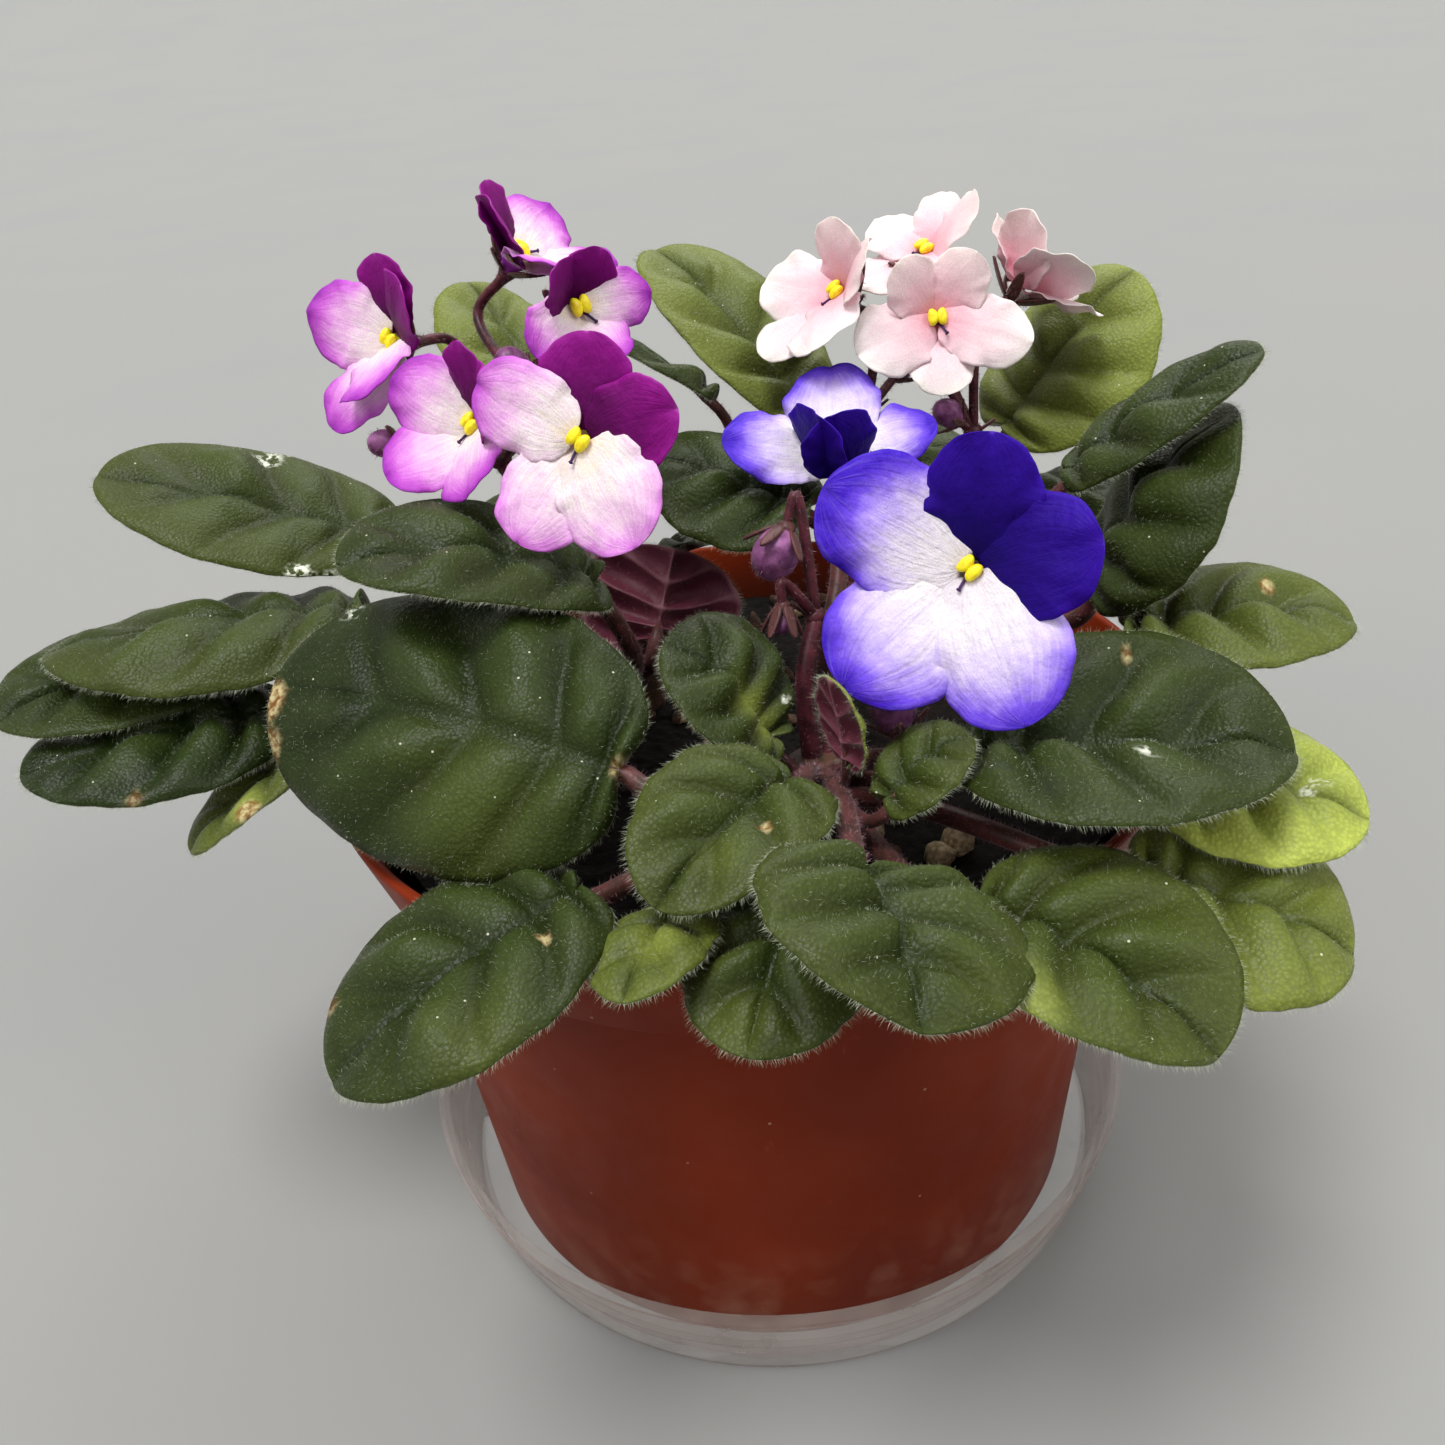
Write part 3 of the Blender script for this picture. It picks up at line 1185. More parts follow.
@dataclass
class Foliage:
    """All the leaf blades, each with its quilting, its fuzz and its blemishes."""

    rows: int = 64
    half_columns: int = 15
    veins: int = 5
    puff: float = 2.9
    lobe: float = 3.5
    full_width: float = 30.0
    thickness: float = 1.0
    edge: float = 0.4
    wave: float = 0.22
    nap: Fur = Fur(1.5, (0.35, 0.8), 0.036, 0.5)
    under_nap: Fur = Fur(0.5, (0.4, 0.9), 0.04, 0.5)
    fringe: Fur = Fur(0.0, (0.7, 1.5), 0.045, 0.3)
    fringe_step: float = 0.13
    plain_youth: float = 0.035
    # a leaf narrower than this has one pair of side veins fewer
    narrow: float = 24.0
    vein_start: float = 2.0
    vein_bend: float = 1.3
    drift_size: float = 9.0
    # how much of the quilting the lower face follows
    under_share: float = 0.9

    def build(self) -> None:
        """Makes every leaf."""
        materials = [LeafFinish().material(), LeafUnderFinish().material(),
                     HairFinish("leaf_hair", "#7f8c66", "#d2d7bf").material()]
        for order, leaf in enumerate(LEAVES):
            rng = np.random.default_rng(Seed.LEAVES + order)
            piece = self.leaf_shape(leaf, rng).build(f"{leaf.name}_blade", materials)
            stand_in(piece, "leaf", leaf.name)

    def blade(self, leaf: Leaf) -> Blade:
        """The sheet that a leaf's blade follows."""
        lobe = self.lobe * min(1.0, leaf.width / self.full_width)
        return Blade(leaf.joint, leaf.tip, leaf.width, leaf.roll, leaf.arch, leaf.fold, leaf.curl,
                     leaf.facing, lobe=lobe, wave=self.wave)

    def leaf_shape(self, leaf: Leaf, rng: np.random.Generator) -> Shape:
        """One leaf with its hairs.

        Args:
            leaf: the design of the leaf.
            rng: seeded draw.

        Returns:
            The shape, with the slots of LeafSlot.
        """
        blade = self.blade(leaf)
        # q runs along the spine, s across it, and t from the midrib to either margin
        q, s = shares(0, self.rows + 1, self.half_columns)
        t = np.abs(s)
        end_x, end_y = blade.margin(np.pi * (1 - q))
        # the side veins leave the midrib low and arch forward to the margin
        leave = blade.length * q ** self.vein_start
        x = leave + (end_x - leave) * t ** self.vein_bend
        y = np.sign(s) * t * (end_y + 0.1 * np.sin(q * 90) * np.sin(np.pi * q))
        drift = wrinkle(blade.place(x, y, 0 * x), self.drift_size)
        crest = self.quilting(leaf, q, t, drift)
        ends = np.abs(2 * q - 1) ** 16
        scale = min(1.0, leaf.width / self.full_width)
        lift = scale * (self.puff * crest * (1 + 0.7 * drift)
                        + 0.5 * drift * np.clip(t * 4, 0, 1) * (1 - t ** 4))
        lift = lift * (1 - ends)
        thickness = self.thickness - (self.thickness - self.edge) * np.maximum(t ** 2, ends)
        top = blade.place(x, y, lift)
        under = blade.place(x, y, lift * self.under_share - thickness)
        paint = self.paint(leaf, crest, t + 0 * q, x, y)
        shape = Shape()
        quads = shape.add_sheet(top, under, (LeafSlot.UPPER, LeafSlot.LOWER), paint)
        for hairs in (self.nap.on_faces(top.reshape(-1, 3), quads, rng),
                      self.under_nap.on_faces(under.reshape(-1, 3), quads[:, ::-1], rng),
                      self.rim_hairs(top, under, rng)):
            add_hairs(shape, hairs, LeafSlot.HAIR)
        return shape

    def quilting(self, leaf: Leaf, q: Array, t: Array, drift: Array) -> Array:
        """Height of the cushions between the side veins, as a share of the highest.

        Args:
            leaf: its design.
            q: shares of the way along the spine.
            t: shares of the way from the midrib to the margin.
            drift: smooth noise that keeps the veins from being even.

        Returns:
            (rows, columns) values.
        """
        veins = self.veins if leaf.width >= self.narrow else self.veins - 1
        between_veins = np.abs(np.sin(np.pi * veins * (q + 0.05 * drift * t))) ** 0.8
        off_midrib = np.sin(np.pi * t ** 0.72) ** 0.7
        # the cushions sink towards the tip
        return between_veins * off_midrib * np.clip((1.05 - q) * 3, 0, 1)

    def paint(self, leaf: Leaf, crest: Array, t: Array, x: Array, y: Array) -> Array:
        """The painted values of a leaf.

        Args:
            leaf: its design.
            crest: height of the quilting.
            t: share of the way to the margin.
            x: distance along the spine.
            y: distance across.

        Returns:
            (rows, columns, 4) values.
        """
        young = np.full(x.shape, YOUTH.get(leaf.name, self.plain_youth)) * (0.35 + 0.65 * t)
        # dead tissue counts up from zero, and frost down
        dead = np.zeros(x.shape)
        for mark in MARKS.get(leaf.name, ()):
            away = np.hypot(x - mark.along * x.max(), y - mark.across * leaf.width / 2) / mark.radius
            fade = mark.strength * np.clip(1.6 - away ** 2, 0, 1)
            if mark.kind is Mark.YELLOW:
                young = np.maximum(young, mark.strength * np.exp(-away ** 2))
            elif mark.kind is Mark.WITHERED:
                dead = np.maximum(dead, fade)
            else:
                dead = np.where(fade > np.abs(dead), -fade, dead)
        return np.stack([crest, t ** 5, young, dead], -1)

    def rim_hairs(self, top: Array, under: Array, rng: np.random.Generator) -> Array:
        """Longer hairs that stand out from the margin.

        Args:
            top: (rows, columns, 3) points of the upper face.
            under: the same of the lower face.
            rng: seeded draw.

        Returns:
            (k, 3, 3) hair triangles.
        """
        roots, ways = [], []
        for edge, inner in ((0, 2), (-1, -3)):
            line = (top[:, edge] + under[:, edge]) / 2
            outward = unit(top[:, edge] - top[:, inner])
            lengths = np.concatenate([[0], np.cumsum(np.linalg.norm(np.diff(line, axis=0), axis=1))])
            at = np.arange(0, lengths[-1], self.fringe_step)
            at = at + rng.uniform(-0.5, 0.5, len(at)) * self.fringe_step
            for source, out in ((line, roots), (outward, ways)):
                out.append(np.stack([np.interp(at, lengths, source[:, k]) for k in range(3)], -1))
        return self.fringe.triangles(np.concatenate(roots), unit(np.concatenate(ways)), rng)


@dataclass
class Flower:
    """The axes of one bloom and the way to a place on its clock."""

    bloom: Bloom

    def __post_init__(self) -> None:
        """Works out where the bloom faces and which way is up on it."""
        turn, lift = math.radians(self.bloom.azimuth), math.radians(self.bloom.elevation)
        level = math.cos(lift)
        self.facing = np.array([math.sin(turn) * level, -math.cos(turn) * level, math.sin(lift)])
        self.top = unit(np.array(UP) - self.facing * self.facing[2])
        self.right = np.cross(self.top, self.facing)
        self.centre = np.array(self.bloom.centre, float)

    def spoke(self, clock: float, tilt: float = 0.0) -> Array:
        """The way out from the throat at a clock angle, tilted forward by some degrees."""
        angle, lean = math.radians(clock), math.radians(tilt)
        flat = self.top * math.cos(angle) + self.right * math.sin(angle)
        return flat * math.cos(lean) + self.facing * math.sin(lean)


# how far out the colour of each plant's pale petals starts, and the petals with more or less of it
OUTWARD = {"a": 1.6, "b": 2.1, "c": 1.0}
STRENGTH = {
    ("bloom_purple_5", 2): 0.6, ("bloom_purple_5", 3): 0.65, ("bloom_purple_5", 4): 0.8,
    ("bloom_blue_1", 4): 1.5, ("bloom_blue_1", 3): 1.1, ("bloom_blue_2", 2): 1.2, ("bloom_blue_2", 4): 1.2,
}


@dataclass
class Blossoms:
    """All the corollas, with ruffled petals, a throat, a style and two pollen sacs each."""

    rows: int = 34
    half_columns: int = 13
    throat: float = 3.0
    gather: float = 1.8
    root: float = 1.4
    tube_length: float = 2.6
    tube_radius: float = 1.8
    thickness: float = 0.35
    layer: float = 0.28
    ruffle: float = 0.6
    widen: float = 1.04
    sac: Vec = (0.95, 1.55, 0.95)
    sac_offset: float = 0.8
    stand: float = 2.2
    filament: float = 0.6
    tube_steps: int = 24
    petal_size: float = 20.0
    # (waves round the petal, height) of the nicks in its edge, and of its ruffles as shares
    nicks: tuple[Pair, ...] = ((6, 0.22), (17, 0.07))
    ruffles: tuple[Pair, ...] = ((5, 1.0), (9, 0.6), (15, 0.3))
    folded_forward: tuple[str, ...] = ("bloom_blue_2",)
    flushed_back: tuple[str, ...] = ("a", "b")

    def build(self) -> None:
        """Makes every bloom."""
        light = {key: finish.material() for key, finish in LIGHT_PETALS.items()}
        dark = {key: finish.material() for key, finish in DARK_PETALS.items()}
        pollen = PollenFinish().material()
        style = StalkFinish("style", "#220630", "#43185c", "#220630").material()
        slots = {"a": "petal_purple", "b": "petal_blue", "c": "petal_pink"}
        for order, bloom in enumerate(BLOOMS):
            rng = np.random.default_rng(Seed.BLOOMS + order)
            flower = Flower(bloom)
            petals = [light[bloom.plant], dark[bloom.plant]]
            piece = self.corolla(flower, rng).build(f"{bloom.name}_corolla", petals)
            stand_in(piece, slots[bloom.plant], bloom.name)
            anthers = bloom.name.replace("bloom", "anthers")
            stand_in(self.sacs(flower).build(f"{anthers}_sacs", [pollen, style]), "anther", anthers)

    def corolla(self, flower: Flower, rng: np.random.Generator) -> Shape:
        """Five petals and the tube behind them.

        Args:
            flower: the bloom's axes.
            rng: seeded draw.

        Returns:
            The shape, with the slots of PetalSlot.
        """
        shape = Shape()
        folded = flower.bloom.name in self.folded_forward
        # the layer that each petal lies in, counted from the back
        depth_order = (5, 4, 2, 0, 1) if folded else (1, 2, 4, 0, 3)
        for index, (clock, tilt, length, width) in enumerate(flower.bloom.petals):
            kind = Petal.UPPER if index < 2 else Petal.LOWER
            way = flower.spoke(clock + flower.bloom.spin, tilt)
            gather = 0.0 if folded and kind is Petal.UPPER else self.gather
            root = flower.centre + flower.spoke(clock + flower.bloom.spin) * (self.throat - gather)
            root = root + flower.facing * (self.layer * (depth_order[index] - 2) * 0.5)
            widen = 1.0 if flower.bloom.plant == "c" and kind is Petal.UPPER else self.widen
            blade = Blade(root, root + way * (length - self.root + gather), width * widen, arch=20.0,
                          fold=(5, 5), curl=(22, 22), facing=tuple(flower.facing), widest=0.56, pinch=0.62)
            strength = STRENGTH.get((flower.bloom.name, index), 1.0)
            lift = self.layer * depth_order[index]
            self.petal(shape, blade, kind, lift, flower.bloom.plant, strength, rng)
        self.tube(shape, flower)
        return shape

    def petal(self, shape: Shape, blade: Blade, kind: Petal, lift: float, plant: str,
              strength: float, rng: np.random.Generator) -> None:
        """Adds one ruffled petal.

        Args:
            shape: where it goes.
            blade: the sheet that it follows.
            kind: dark upper or pale lower petal.
            lift: how far it stands forward of the others.
            plant: the plant that it belongs to.
            strength: how much of its plant's colour it has.
            rng: seeded draw.
        """
        q, s = shares(PETAL_START, self.rows, self.half_columns)
        t = np.abs(s)
        angle = np.pi * (1 - q)
        end_x, end_y = blade.margin(angle)
        notch = sum(deep * np.sin(angle * count + rng.uniform(0, 6)) for count, deep in self.nicks)
        x = blade.length * q + (end_x - blade.length * q) * t ** 1.5
        y = np.sign(s) * t * np.maximum(end_y + notch * np.sin(np.pi * q), 0.05)
        reach = np.clip(np.hypot(x, y * 0.9) / blade.length, 0, 1)
        edge = t ** 2 * np.sin(np.pi * q) ** 0.3
        rim = np.maximum(edge, q ** 6) + 0 * x
        phase = rng.uniform(0, 6, len(self.ruffles))
        turn = np.arctan2(y, x - 0.35 * blade.length)
        waves = sum(high * np.sin(turn * count + start)
                    for (count, high), start in zip(self.ruffles, phase))
        folds = wrinkle(np.stack([x * 0.35 + phase[1] * 9, y * 1.2, 0 * x + phase[2] * 9], -1), 2.2)
        crumple = wrinkle(np.stack([x * 0.6 + phase[0] * 9, y, 0 * x + phase[1] * 9], -1), 4.5)
        size = blade.length / self.petal_size
        rise = lift + size * (self.ruffle * waves * rim ** 1.6 + 0.6 * crumple * np.clip(reach * 1.6, 0, 1)
                              + 0.16 * folds * np.clip(reach * 2, 0, 1))
        back = self.thickness * (1 - 0.6 * rim)
        top, under = blade.place(x, y, rise), blade.place(x, y, rise - back)
        outer = reach ** OUTWARD[plant]
        flush = np.clip(strength * (0.06 + 0.8 * outer + 0.3 * rim ** 1.5 * reach), 0, 1)
        if kind is Petal.UPPER:
            flush = np.clip(reach * 0.8 + 0.25 * rim ** 4, 0, 1)
        paint = np.stack([reach, (s + 1) / 2 + 0 * x, rim, flush], -1)
        # the backs of the pale petals are flushed all over
        behind = paint.copy()
        if kind is Petal.LOWER and plant in self.flushed_back:
            behind[..., 3] = 0.4 + 0.55 * flush
        slot = PetalSlot.DARK if kind is Petal.UPPER else PetalSlot.PALE
        shape.add_sheet(top, under, (slot, slot), paint, behind)

    def tube(self, shape: Shape, flower: Flower) -> None:
        """Adds the throat disc and the tube behind the petals."""
        turn = np.linspace(0, 360, self.tube_steps, endpoint=False)
        spokes = np.array([flower.spoke(clock) for clock in turn])
        outside = ((0.0, -self.tube_length), (self.tube_radius, -self.tube_length),
                   (self.tube_radius, -1.4), (self.throat - 0.4, -0.6))
        inside = ((self.throat - 0.9, -0.1), (self.tube_radius - 0.6, -0.8), (0.0, -1.1))
        rings = outside + inside
        points = np.concatenate([flower.centre + spokes * r + flower.facing * h for r, h in rings])
        paint = np.zeros((len(points), 4))
        paint[:len(outside) * self.tube_steps, 3] = 0.9
        quads = grid_faces(len(rings), self.tube_steps, flip=True, closed=True)
        shape.add(points, quads, PetalSlot.PALE, paint)

    def sacs(self, flower: Flower) -> Shape:
        """The two pollen sacs on their filament, and the style beside them.

        Args:
            flower: the bloom's axes.

        Returns:
            The shape, with the slots of AntherSlot.
        """
        shape = Shape()
        across = flower.spoke(flower.bloom.spin + 90)
        along = flower.spoke(flower.bloom.spin)
        head = flower.centre + flower.facing * self.stand
        rows, columns = 14, 20
        lat, lon = globe(rows, columns)
        wide, long, deep = self.sac
        # a furrow runs down the front of each sac, and the two lean apart at their ends
        groove = 1 - 0.16 * np.exp(-((lon - np.pi / 2) / 0.35) ** 2) * np.sin(lat)
        u = wide * np.sin(lat) * np.cos(lon) * groove
        w = deep * np.sin(lat) * np.sin(lon) * groove
        v = long * np.cos(lat) + 0 * lon
        for side in (-1, 1):
            bend = 0.18 * (v / long) ** 2 * side
            points = (head + (u + side * self.sac_offset + bend)[..., None] * across
                      + v[..., None] * along + w[..., None] * flower.facing)
            shape.add(points, grid_faces(rows, columns, closed=True), AntherSlot.POLLEN)
        route = np.linspace(flower.centre - flower.facing * 0.6, head, 4)
        shape.add(*tube(route, np.full(len(route), self.filament), 8), AntherSlot.POLLEN)
        out = -along * 0.6 + across * 0.25
        # how far the style stands forward and leans out at its foot, middle and head
        places = ((-0.3, 1.0), (1.6, 2.4), (2.6, 5.0))
        route = smooth_route([flower.centre + flower.facing * h + out * r for h, r in places], 6)
        shape.add(*tube(route, np.linspace(0.28, 0.22, len(route)), 8), AntherSlot.STYLE)
        knob = route[-1] + unit(route[-1] - route[-2]) * np.array([[0.0], [0.25], [0.45]])
        shape.add(*tube(knob, np.array([0.24, 0.42, 0.12]), 8), AntherSlot.STYLE)
        return shape


# length of the sepals behind each plant's blooms
SEPALS = {"a": 6.4, "b": 7.0, "c": 8.0}


@dataclass
class Stems:
    """Each plant's crown, petioles, flower stalks, calyxes and buds."""

    crown_radius: float = 7.0
    crown_top: float = 5.6
    crown_depth: float = 15.0
    crown_rise: float = 11.0
    first_root: float = 4.2
    root_span: float = 7.0
    petiole_root: float = 1.8
    petiole_end: float = 1.5
    notch: float = 0.9
    rise: float = 0.6
    least_rise: float = 6.0
    stalk_root: float = 1.9
    stalk_end: float = 1.1
    sepal_rows: int = 12
    sepal_half_columns: int = 2
    tube_length: float = 2.9
    sides: int = 12
    crown_sides: int = 24
    bare: float = 2.0
    down: Fur = Fur(2.2, (0.5, 1.1), 0.075, 0.5)
    foliage: Foliage = field(default_factory=Foliage)

    def build(self) -> None:
        """Makes each plant's stems."""
        materials = [StalkFinish().material(), HairFinish("stalk_hair", "#643a42", "#a67c81").material()]
        names = {"a": "stems_purple", "b": "stems_blue", "c": "stems_pink"}
        for key, plant in PLANTS.items():
            # each plant's own draws
            rng = np.random.default_rng(ord(key))
            shape = Shape()
            self.add_crown(shape, plant)
            self.add_petioles(shape, key, plant)
            self.add_stalks(shape, key, plant)
            points = np.concatenate(shape.points)
            quads = np.array([f for f in shape.faces if len(f) == 4])
            hairs = self.down.on_faces(points, quads, rng)
            # nothing grows below the top of the soil
            above = hairs[:, 0, 2] > plant.crown[2] + self.bare
            add_hairs(shape, hairs[above], StemSlot.HAIR)
            stand_in(shape.build(f"{names[key]}_fine", materials), "stems", names[key])

    def add_part(self, shape: Shape, part: Part, green: float = 0.0, sepal: float = 0.0,
                 bud: float = 0.0) -> None:
        """Adds points and faces with one even paint."""
        paint = np.tile((green, sepal, bud, 0.0), (len(part[0]), 1))
        shape.add(*part, StemSlot.SKIN, paint)

    def add_stalk(self, shape: Shape, route: Array, thick: float, thin: float) -> None:
        """Adds a tube along a route that tapers evenly from one radius to the other."""
        self.add_part(shape, tube(route, np.linspace(thick, thin, len(route)), self.sides))

    def add_crown(self, shape: Shape, plant: Plant) -> None:
        """Adds the short thick stem that the petioles leave."""
        x, y, z = plant.crown
        low, high = z - self.crown_depth, z + self.crown_rise
        profile = rounded(((0, low), (self.crown_radius, low), (self.crown_top, high), (0, high)), 1.5)
        points, quads = lathe(profile, self.crown_sides)
        points = points + np.array([x, y, 0.0])
        points[:, :2] += (wrinkle(points, 4.0) * 0.35)[:, None]
        self.add_part(shape, (points, quads), green=0.3)

    def add_petioles(self, shape: Shape, key: str, plant: Plant) -> None:
        """Adds a petiole to each leaf of the plant."""
        base = np.array(plant.crown, float)
        own = sorted((leaf for leaf in LEAVES if leaf.plant == key), key=lambda leaf: leaf.joint[2])
        for order, leaf in enumerate(own):
            blade = self.foliage.blade(leaf)
            slim = min(1.0, leaf.width / self.foliage.full_width)
            way = blade.direction()
            end = blade.joint - blade.normal() * self.petiole_end * slim * 0.6 - way * self.notch
            out = unit((end - base) * (1, 1, 0))
            root = base + out * self.crown_radius / 2
            root[2] = base[2] + self.first_root + self.root_span * order / len(own)
            reach = np.linalg.norm(end - root)
            climb = root + out * 0.25 * reach + leaf.sweep
            climb[2] += max(self.least_rise, (end[2] - root[2]) * self.rise)
            approach = end - way * 0.3 * reach + leaf.sweep
            t = np.linspace(0, 1, 22)
            # past its end the petiole thins out into the midrib
            route = bezier((root, climb, approach, end), t)
            route = np.concatenate([route, [end + way * 1.6, end + way * 5]])
            radii = slim * (self.petiole_root + (self.petiole_end - self.petiole_root) * t)
            radii = np.concatenate([radii, [self.petiole_end * slim * 0.9, 0.25]])
            self.add_part(shape, tube(route, radii, self.sides), green=0.12)

    def add_stalks(self, shape: Shape, key: str, plant: Plant) -> None:
        """Adds the flower stalks with their calyxes and buds."""
        base = np.array(plant.crown, float)
        ends = {}
        for name, points in plant.forks.items():
            route = smooth_route([base + (0, 0, 3), *points], 8)
            self.add_stalk(shape, route, self.stalk_root, self.stalk_end + 0.35)
            ends[name] = np.array(points[-1], float)
            knot = lump(ends[name], (1.8, 1.6, 1.9), 0.1, np.random.default_rng(Seed.FORK))
            self.add_part(shape, knot)
            self.add_sepals(shape, ends[name], np.array(UP), 2, 4.5, 35.0)
        for bloom in BLOOMS:
            if bloom.plant != key:
                continue
            flower = Flower(bloom)
            seat = flower.centre - flower.facing * self.tube_length
            start = ends[plant.bloom_forks[bloom.name]]
            bend = seat - flower.facing * 0.4 * np.linalg.norm(seat - start)
            route = smooth_route([start, bend, seat], 10)
            radii = np.full(len(route), self.stalk_end * 0.85)
            # the stalk widens into the calyx
            radii[-3:] = (1.0, 1.25, 1.7)
            self.add_part(shape, tube(route, radii, self.sides))
            self.add_sepals(shape, seat, flower.facing, 5, SEPALS[key], 34.0, 0.9)
        for bud in plant.buds:
            self.add_bud(shape, ends[bud.fork], bud)

    def add_sepals(self, shape: Shape, centre: Array, facing: Array, count: int, length: float,
                   splay: float, spread: float = 0.6) -> None:
        """Adds pointed sepals round the end of a stalk.

        Args:
            shape: where they go.
            centre: where they meet.
            facing: the way the stalk ends.
            count: number of sepals.
            length: length of each.
            splay: degrees that they lean towards facing.
            spread: distance of their roots from the centre.
        """
        top = square_to(facing)
        right = np.cross(top, facing)
        lean = math.radians(splay)
        for index in range(count):
            turn = 2 * math.pi * index / count + 0.3
            flat = top * math.cos(turn) + right * math.sin(turn)
            way = flat * math.cos(lean) + facing * math.sin(lean)
            root = centre + flat * spread
            blade = Blade(root, root + way * length, length * 0.3, arch=-8.0, fold=(10, 10), curl=(25, 25),
                          facing=tuple(facing), widest=0.35, pinch=0.7)
            q, s = shares(PETAL_START, self.sepal_rows, self.sepal_half_columns)
            end_x, end_y = blade.margin(np.pi * (1 - q))
            x = blade.length * q + (end_x - blade.length * q) * np.abs(s)
            y = s * end_y
            inner, outer = blade.place(x, y, 0 * x + 0.2), blade.place(x, y, 0 * x - 0.25)
            paint = np.tile((0.0, 0.6, 0.0, 0.0), (*x.shape, 1))
            shape.add_sheet(inner, outer, (StemSlot.SKIN, StemSlot.SKIN), paint)

    def add_bud(self, shape: Shape, start: Array, bud: Bud) -> None:
        """Adds a closed bud in its clasping sepals on a thin stalk.

        Args:
            shape: where it goes.
            start: the end of the fork that it grows from.
            bud: its design.
        """
        place, size = np.array(bud.place, float), bud.size
        facing = unit(place - start) if bud.facing is None else unit(np.array(bud.facing))
        back = place - facing * size
        # a bud with a facing of its own hangs or stands on a bent stalk
        bend = back - facing * size * (0.4 if bud.facing is None else 1.3)
        route = smooth_route([start, bend, back], 8)
        self.add_stalk(shape, route, self.stalk_end * 0.9, self.stalk_end * 0.7)
        rows, columns = 16, 24
        lat, lon = globe(rows, columns)
        first = square_to(facing)
        second = np.cross(facing, first)
        full = size * (0.97 if bud.petals else 0.5)
        # the rolled petals overlap in a spiral
        radius = full * np.sin(lat) * (1 - 0.09 * np.abs(np.sin(lon * 2.5 + lat * 1.4)))
        points = (place + (radius * np.cos(lon))[..., None] * first
                  + (radius * np.sin(lon))[..., None] * second
                  + (full * 1.12 * np.cos(lat) + 0 * lon)[..., None] * facing)
        quads = grid_faces(rows, columns, flip=True, closed=True)
        self.add_part(shape, (points.reshape(-1, 3), quads), bud=1.0)
        cup = (size * 0.42, size * 0.42, size * 0.36)
        self.add_part(shape, lump(back, cup, 0.1, np.random.default_rng(Seed.BUD)), sepal=0.5)
        length, splay = (size * 1.5, 42.0) if bud.petals else (size * 1.9, 62.0)
        self.add_sepals(shape, back - facing * 0.2, facing, 5, length, splay, size * 0.3)


@dataclass
class Pot:
    """The plastic pot: a plain tapering body with a flared band under its lip."""

    base: float = 1.5
    height: float = 98.5
    rim: float = 75.0
    band_height: float = 18.0
    band_flare: float = 5.2
    band_step: float = 2.2
    foot: float = 60.5
    foot_ring: float = 3.0
    wall: float = 1.8
    floor: float = 2.4
    hollow: float = 1.2
    edge: float = 0.8
    bevel: float = 0.6
    peat_rings: int = 33
    sides: int = 192

    def build(self) -> None:
        """Makes the pot in place of its faceted solid."""
        lip, band = self.base + self.height, self.base + self.height - self.band_height
        wide, neck = self.rim - self.band_flare, self.rim - self.band_flare - self.band_step
        foot_inside, hollow = self.foot - self.foot_ring, self.base + self.hollow
        under = [(0, hollow), (foot_inside, hollow), (foot_inside, self.base)]
        outside = [(self.foot, self.base), (neck, band), (wide, band + self.edge),
                   (self.rim, lip - self.edge), (self.rim - self.edge / 2, lip)]
        inside = [(self.rim - self.wall, lip), (wide - self.wall, band + self.edge),
                  (neck - self.wall, band - self.edge), (self.foot - self.wall, self.base + self.floor),
                  (0, self.base + self.floor)]
        shape = Shape()
        points, quads = lathe(rounded([*under, *outside, *inside], self.bevel), self.sides)
        paint = np.zeros((len(points), 4))
        # the inside, from the corner at the top of its band down, wears a film of peat
        paint[self.peat_rings * self.sides:, 0] = 1.0
        shape.add(points, quads, 0, paint)
        stand_in(shape.build("pot_fine", [PotFinish().material()]), "pot_terracotta", "pot")


@dataclass
class Saucer:
    """The clear saucer, with a ledge round its wall and a rolled rim."""

    height: float = 19.4
    rim: float = 71.5
    base: float = 67.2
    wall: float = 1.2
    lip: float = 2.2
    lip_depth: float = 1.4
    step_height: float = 9.0
    step: float = 0.9
    toe: float = 1.0
    bevel: float = 0.5
    sides: int = 192

    def build(self) -> None:
        """Makes the saucer in place of its faceted solid."""
        mid = (self.rim + self.base - self.lip) / 2
        ledge, ledge_height = mid + self.step, self.step_height + self.step
        outside = [(0, 0), (self.base - self.toe, 0), (mid, self.step_height), (ledge, ledge_height),
                   (self.rim - self.step, self.height - 2 * self.step),
                   (self.rim, self.height - self.lip_depth), (self.rim, self.height)]
        inside = [(self.rim - self.lip, self.height), (ledge - self.wall, ledge_height),
                  (mid - self.wall, self.step_height), (self.base - 2 * self.wall, self.wall), (0, self.wall)]
        shape = Shape()
        shape.add(*lathe(rounded([*outside, *inside], self.bevel), self.sides))
        stand_in(shape.build("saucer_fine", [SaucerFinish().material()]), "saucer_clear", "saucer")


# range of half widths of the loose grains, and how much longer than wide they are
GRAIN_SIZES = {GrainSlot.PERLITE: ((0.7, 2.1), 1.2), GrainSlot.BARK: ((0.8, 1.9), 2.0)}
# where the large grains of perlite by the front leaves lie, and the size of each
NEAR_PERLITE = (((17, -35, 92.6), 2.6), ((27, -43, 92.4), 2.4), ((31, -40, 92.4), 2.7),
                ((23, -48, 92.2), 1.8))


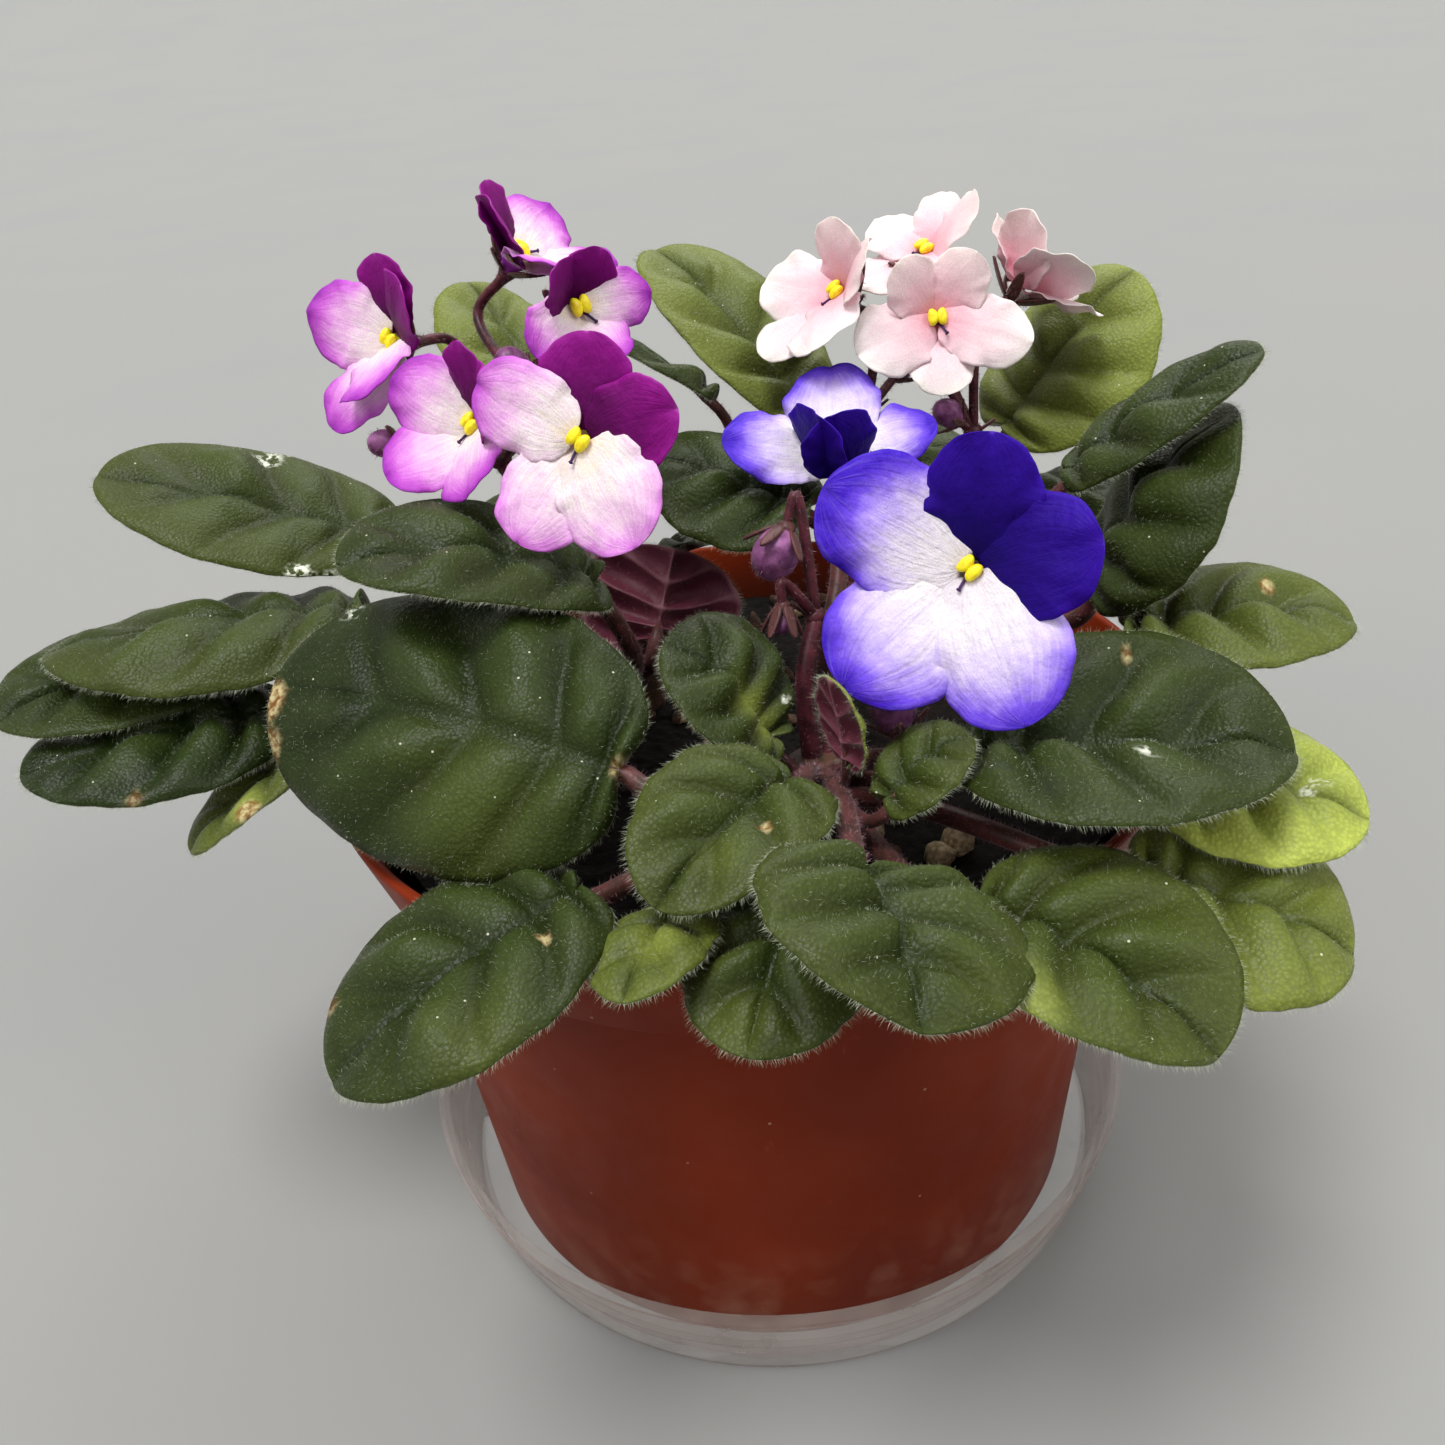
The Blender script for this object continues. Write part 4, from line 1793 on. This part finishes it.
@dataclass
class Soil:
    """Crumbs, perlite and bark on top of the packed soil."""

    top: float = 90.0
    depth: float = 1.0
    cover: float = 1.3
    dip: float = 1.5
    radius: float = 66.0
    rings: int = 90
    spokes: int = 220
    perlite: int = 26
    bark: int = 60

    def build(self) -> None:
        """Dresses the soil node and lays the loose top on it."""
        soil = PeatFinish().material()
        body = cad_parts["soil"]
        body.data.materials.clear()
        body.data.materials.append(soil)
        stand_in(self.crust().build("soil_crumbs", [soil]), "soil")
        materials = [GrainFinish("perlite", "#c9b48f", "#8f7a58").material(),
                     GrainFinish("pine_bark", "#5a3d28", "#2c1c12").material()]
        grains = self.grains(np.random.default_rng(Seed.SOIL))
        stand_in(grains.build("soil_grains", materials), "soil")

    def crust(self) -> Shape:
        """The lumpy top of the soil, closed by a flat underside inside the packed soil."""
        radius = np.linspace(0, self.radius, self.rings)[:, None]
        turn = np.linspace(0, 2 * np.pi, self.spokes, endpoint=False)[None]
        top = np.stack([radius * np.cos(turn), radius * np.sin(turn), 0 * radius * turn], -1)
        height = (self.top + self.cover + 0.9 * wrinkle(top, 6.0) + 0.8 * wrinkle(top + 50, 2.2)
                  + 0.4 * wrinkle(top, 1.1))
        # it dips where it meets the pot
        top[..., 2] = height - self.dip * (radius / self.radius) ** 12
        under = top[[-1, 0]] * (1, 1, 0) + (0, 0, self.top - self.depth)
        points = np.concatenate([top, under])
        shape = Shape()
        shape.add(points.reshape(-1, 3), grid_faces(len(points), self.spokes, flip=True, closed=True))
        return shape

    def grains(self, rng: np.random.Generator) -> Shape:
        """Loose perlite and bark.

        Args:
            rng: seeded draw.

        Returns:
            The shape, with the slots of GrainSlot.
        """
        shape = Shape()
        for index in range(self.perlite + self.bark):
            kind = GrainSlot.PERLITE if index < self.perlite else GrainSlot.BARK
            away = self.radius * math.sqrt(rng.random()) * 0.95
            where = rng.uniform(0, 2 * math.pi)
            sizes, long = GRAIN_SIZES[kind]
            size = rng.uniform(*sizes)
            centre = np.array((away * math.cos(where), away * math.sin(where), self.top + 2.0))
            shape.add(*lump(centre, (size * long, size, size * 0.8), 0.5, rng), kind)
        for place, size in NEAR_PERLITE:
            grain = lump(np.array(place, float), (size * 1.2, size, size * 0.9), 0.45, rng)
            shape.add(*grain, GrainSlot.PERLITE)
        return shape


@dataclass(frozen=True)
class Sun:
    """A distant light: the way towards it, how wide it looks in degrees, and its strength."""

    name: str
    way: Vec
    spread: float
    power: float


SUNS = (
    Sun("key", (-0.5, -0.4, 2.4), 22.0, 2.75),
    Sun("left", (-1.9, -1.4, 1.4), 40.0, 1.2),
    Sun("right", (2.3, -1.4, 1.4), 50.0, 2.0),
    Sun("back", (0.5, 1.6, 1.9), 40.0, 1.2),
)


@dataclass
class Studio:
    """Floor, lights and camera."""

    focal: float = 1300.0
    frame_width: float = 1445.0
    sensor: float = 36.0
    eye: Vec = (-5.1, -209.1, 215.9)
    forward: Vec = (0.0, 0.8663, -0.4996)
    roll: float = -0.09
    flat: float = 2500.0
    bend: float = 12000.0
    bend_angle: float = 62.0
    sky: str = "#eeedea"
    sky_strength: float = 0.5
    clip: Pair = (0.01, 100.0)

    def build(self) -> None:
        """Sets up everything that isn't the object."""
        self.floor()
        self.lights()
        self.camera()

    def floor(self) -> None:
        """A wide pale floor that curves up far behind, on every side."""
        curve = [(self.flat + self.bend * math.sin(a), self.bend * (1 - math.cos(a)))
                 for a in np.linspace(0, math.radians(self.bend_angle), 32)]
        points, quads = lathe([(0.0, 0.0), *curve], 128)
        shape = Shape()
        shape.add(points, quads[:, ::-1])
        shape.build("floor", [PaperFinish().material()])

    def lights(self) -> None:
        """A soft key from above, a weaker light from either side and behind, and an even sky."""
        world = bpy.data.worlds.new("studio")
        bpy.context.scene.world = world
        bpy.context.scene.view_settings.view_transform = "Standard"
        world.use_nodes = True
        background = world.node_tree.nodes["Background"]
        background.inputs["Color"].default_value = linear(self.sky)
        background.inputs["Strength"].default_value = self.sky_strength
        for sun in SUNS:
            light = bpy.data.lights.new(sun.name, "SUN")
            light.angle, light.energy = math.radians(sun.spread), sun.power
            lamp = bpy.data.objects.new(sun.name, light)
            lamp.rotation_euler = Vector(sun.way).to_track_quat("Z", "Y").to_euler()
            bpy.context.scene.collection.objects.link(lamp)

    def camera(self) -> None:
        """A camera at the display's viewing angle."""
        forward = Vector(self.forward).normalized()
        right = Vector((1, 0, 0))
        up = right.cross(forward)
        side = right * math.cos(self.roll) + up * math.sin(self.roll)
        top = up * math.cos(self.roll) - right * math.sin(self.roll)
        data = bpy.data.cameras.new("camera")
        data.sensor_width = self.sensor
        data.lens = self.sensor * self.focal / self.frame_width
        data.clip_start, data.clip_end = self.clip
        camera = bpy.data.objects.new("camera", data)
        rotation = Matrix((side, top, -forward)).transposed().to_4x4()
        camera.matrix_world = Matrix.Translation(Vector(self.eye) * MM) @ rotation
        bpy.context.scene.collection.objects.link(camera)
        bpy.context.scene.camera = camera


def main() -> None:
    """Builds the pieces in order and keeps the boxes before and after."""
    logging.basicConfig(level=logging.INFO, format="%(name)s: %(message)s")
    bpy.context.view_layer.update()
    for part in (Saucer(), Pot(), Soil(), Foliage(), Stems(), Blossoms(), Studio()):
        LOG.info("building %s", type(part).__name__)
        part.build()


if __name__ == "__main__":
    main()
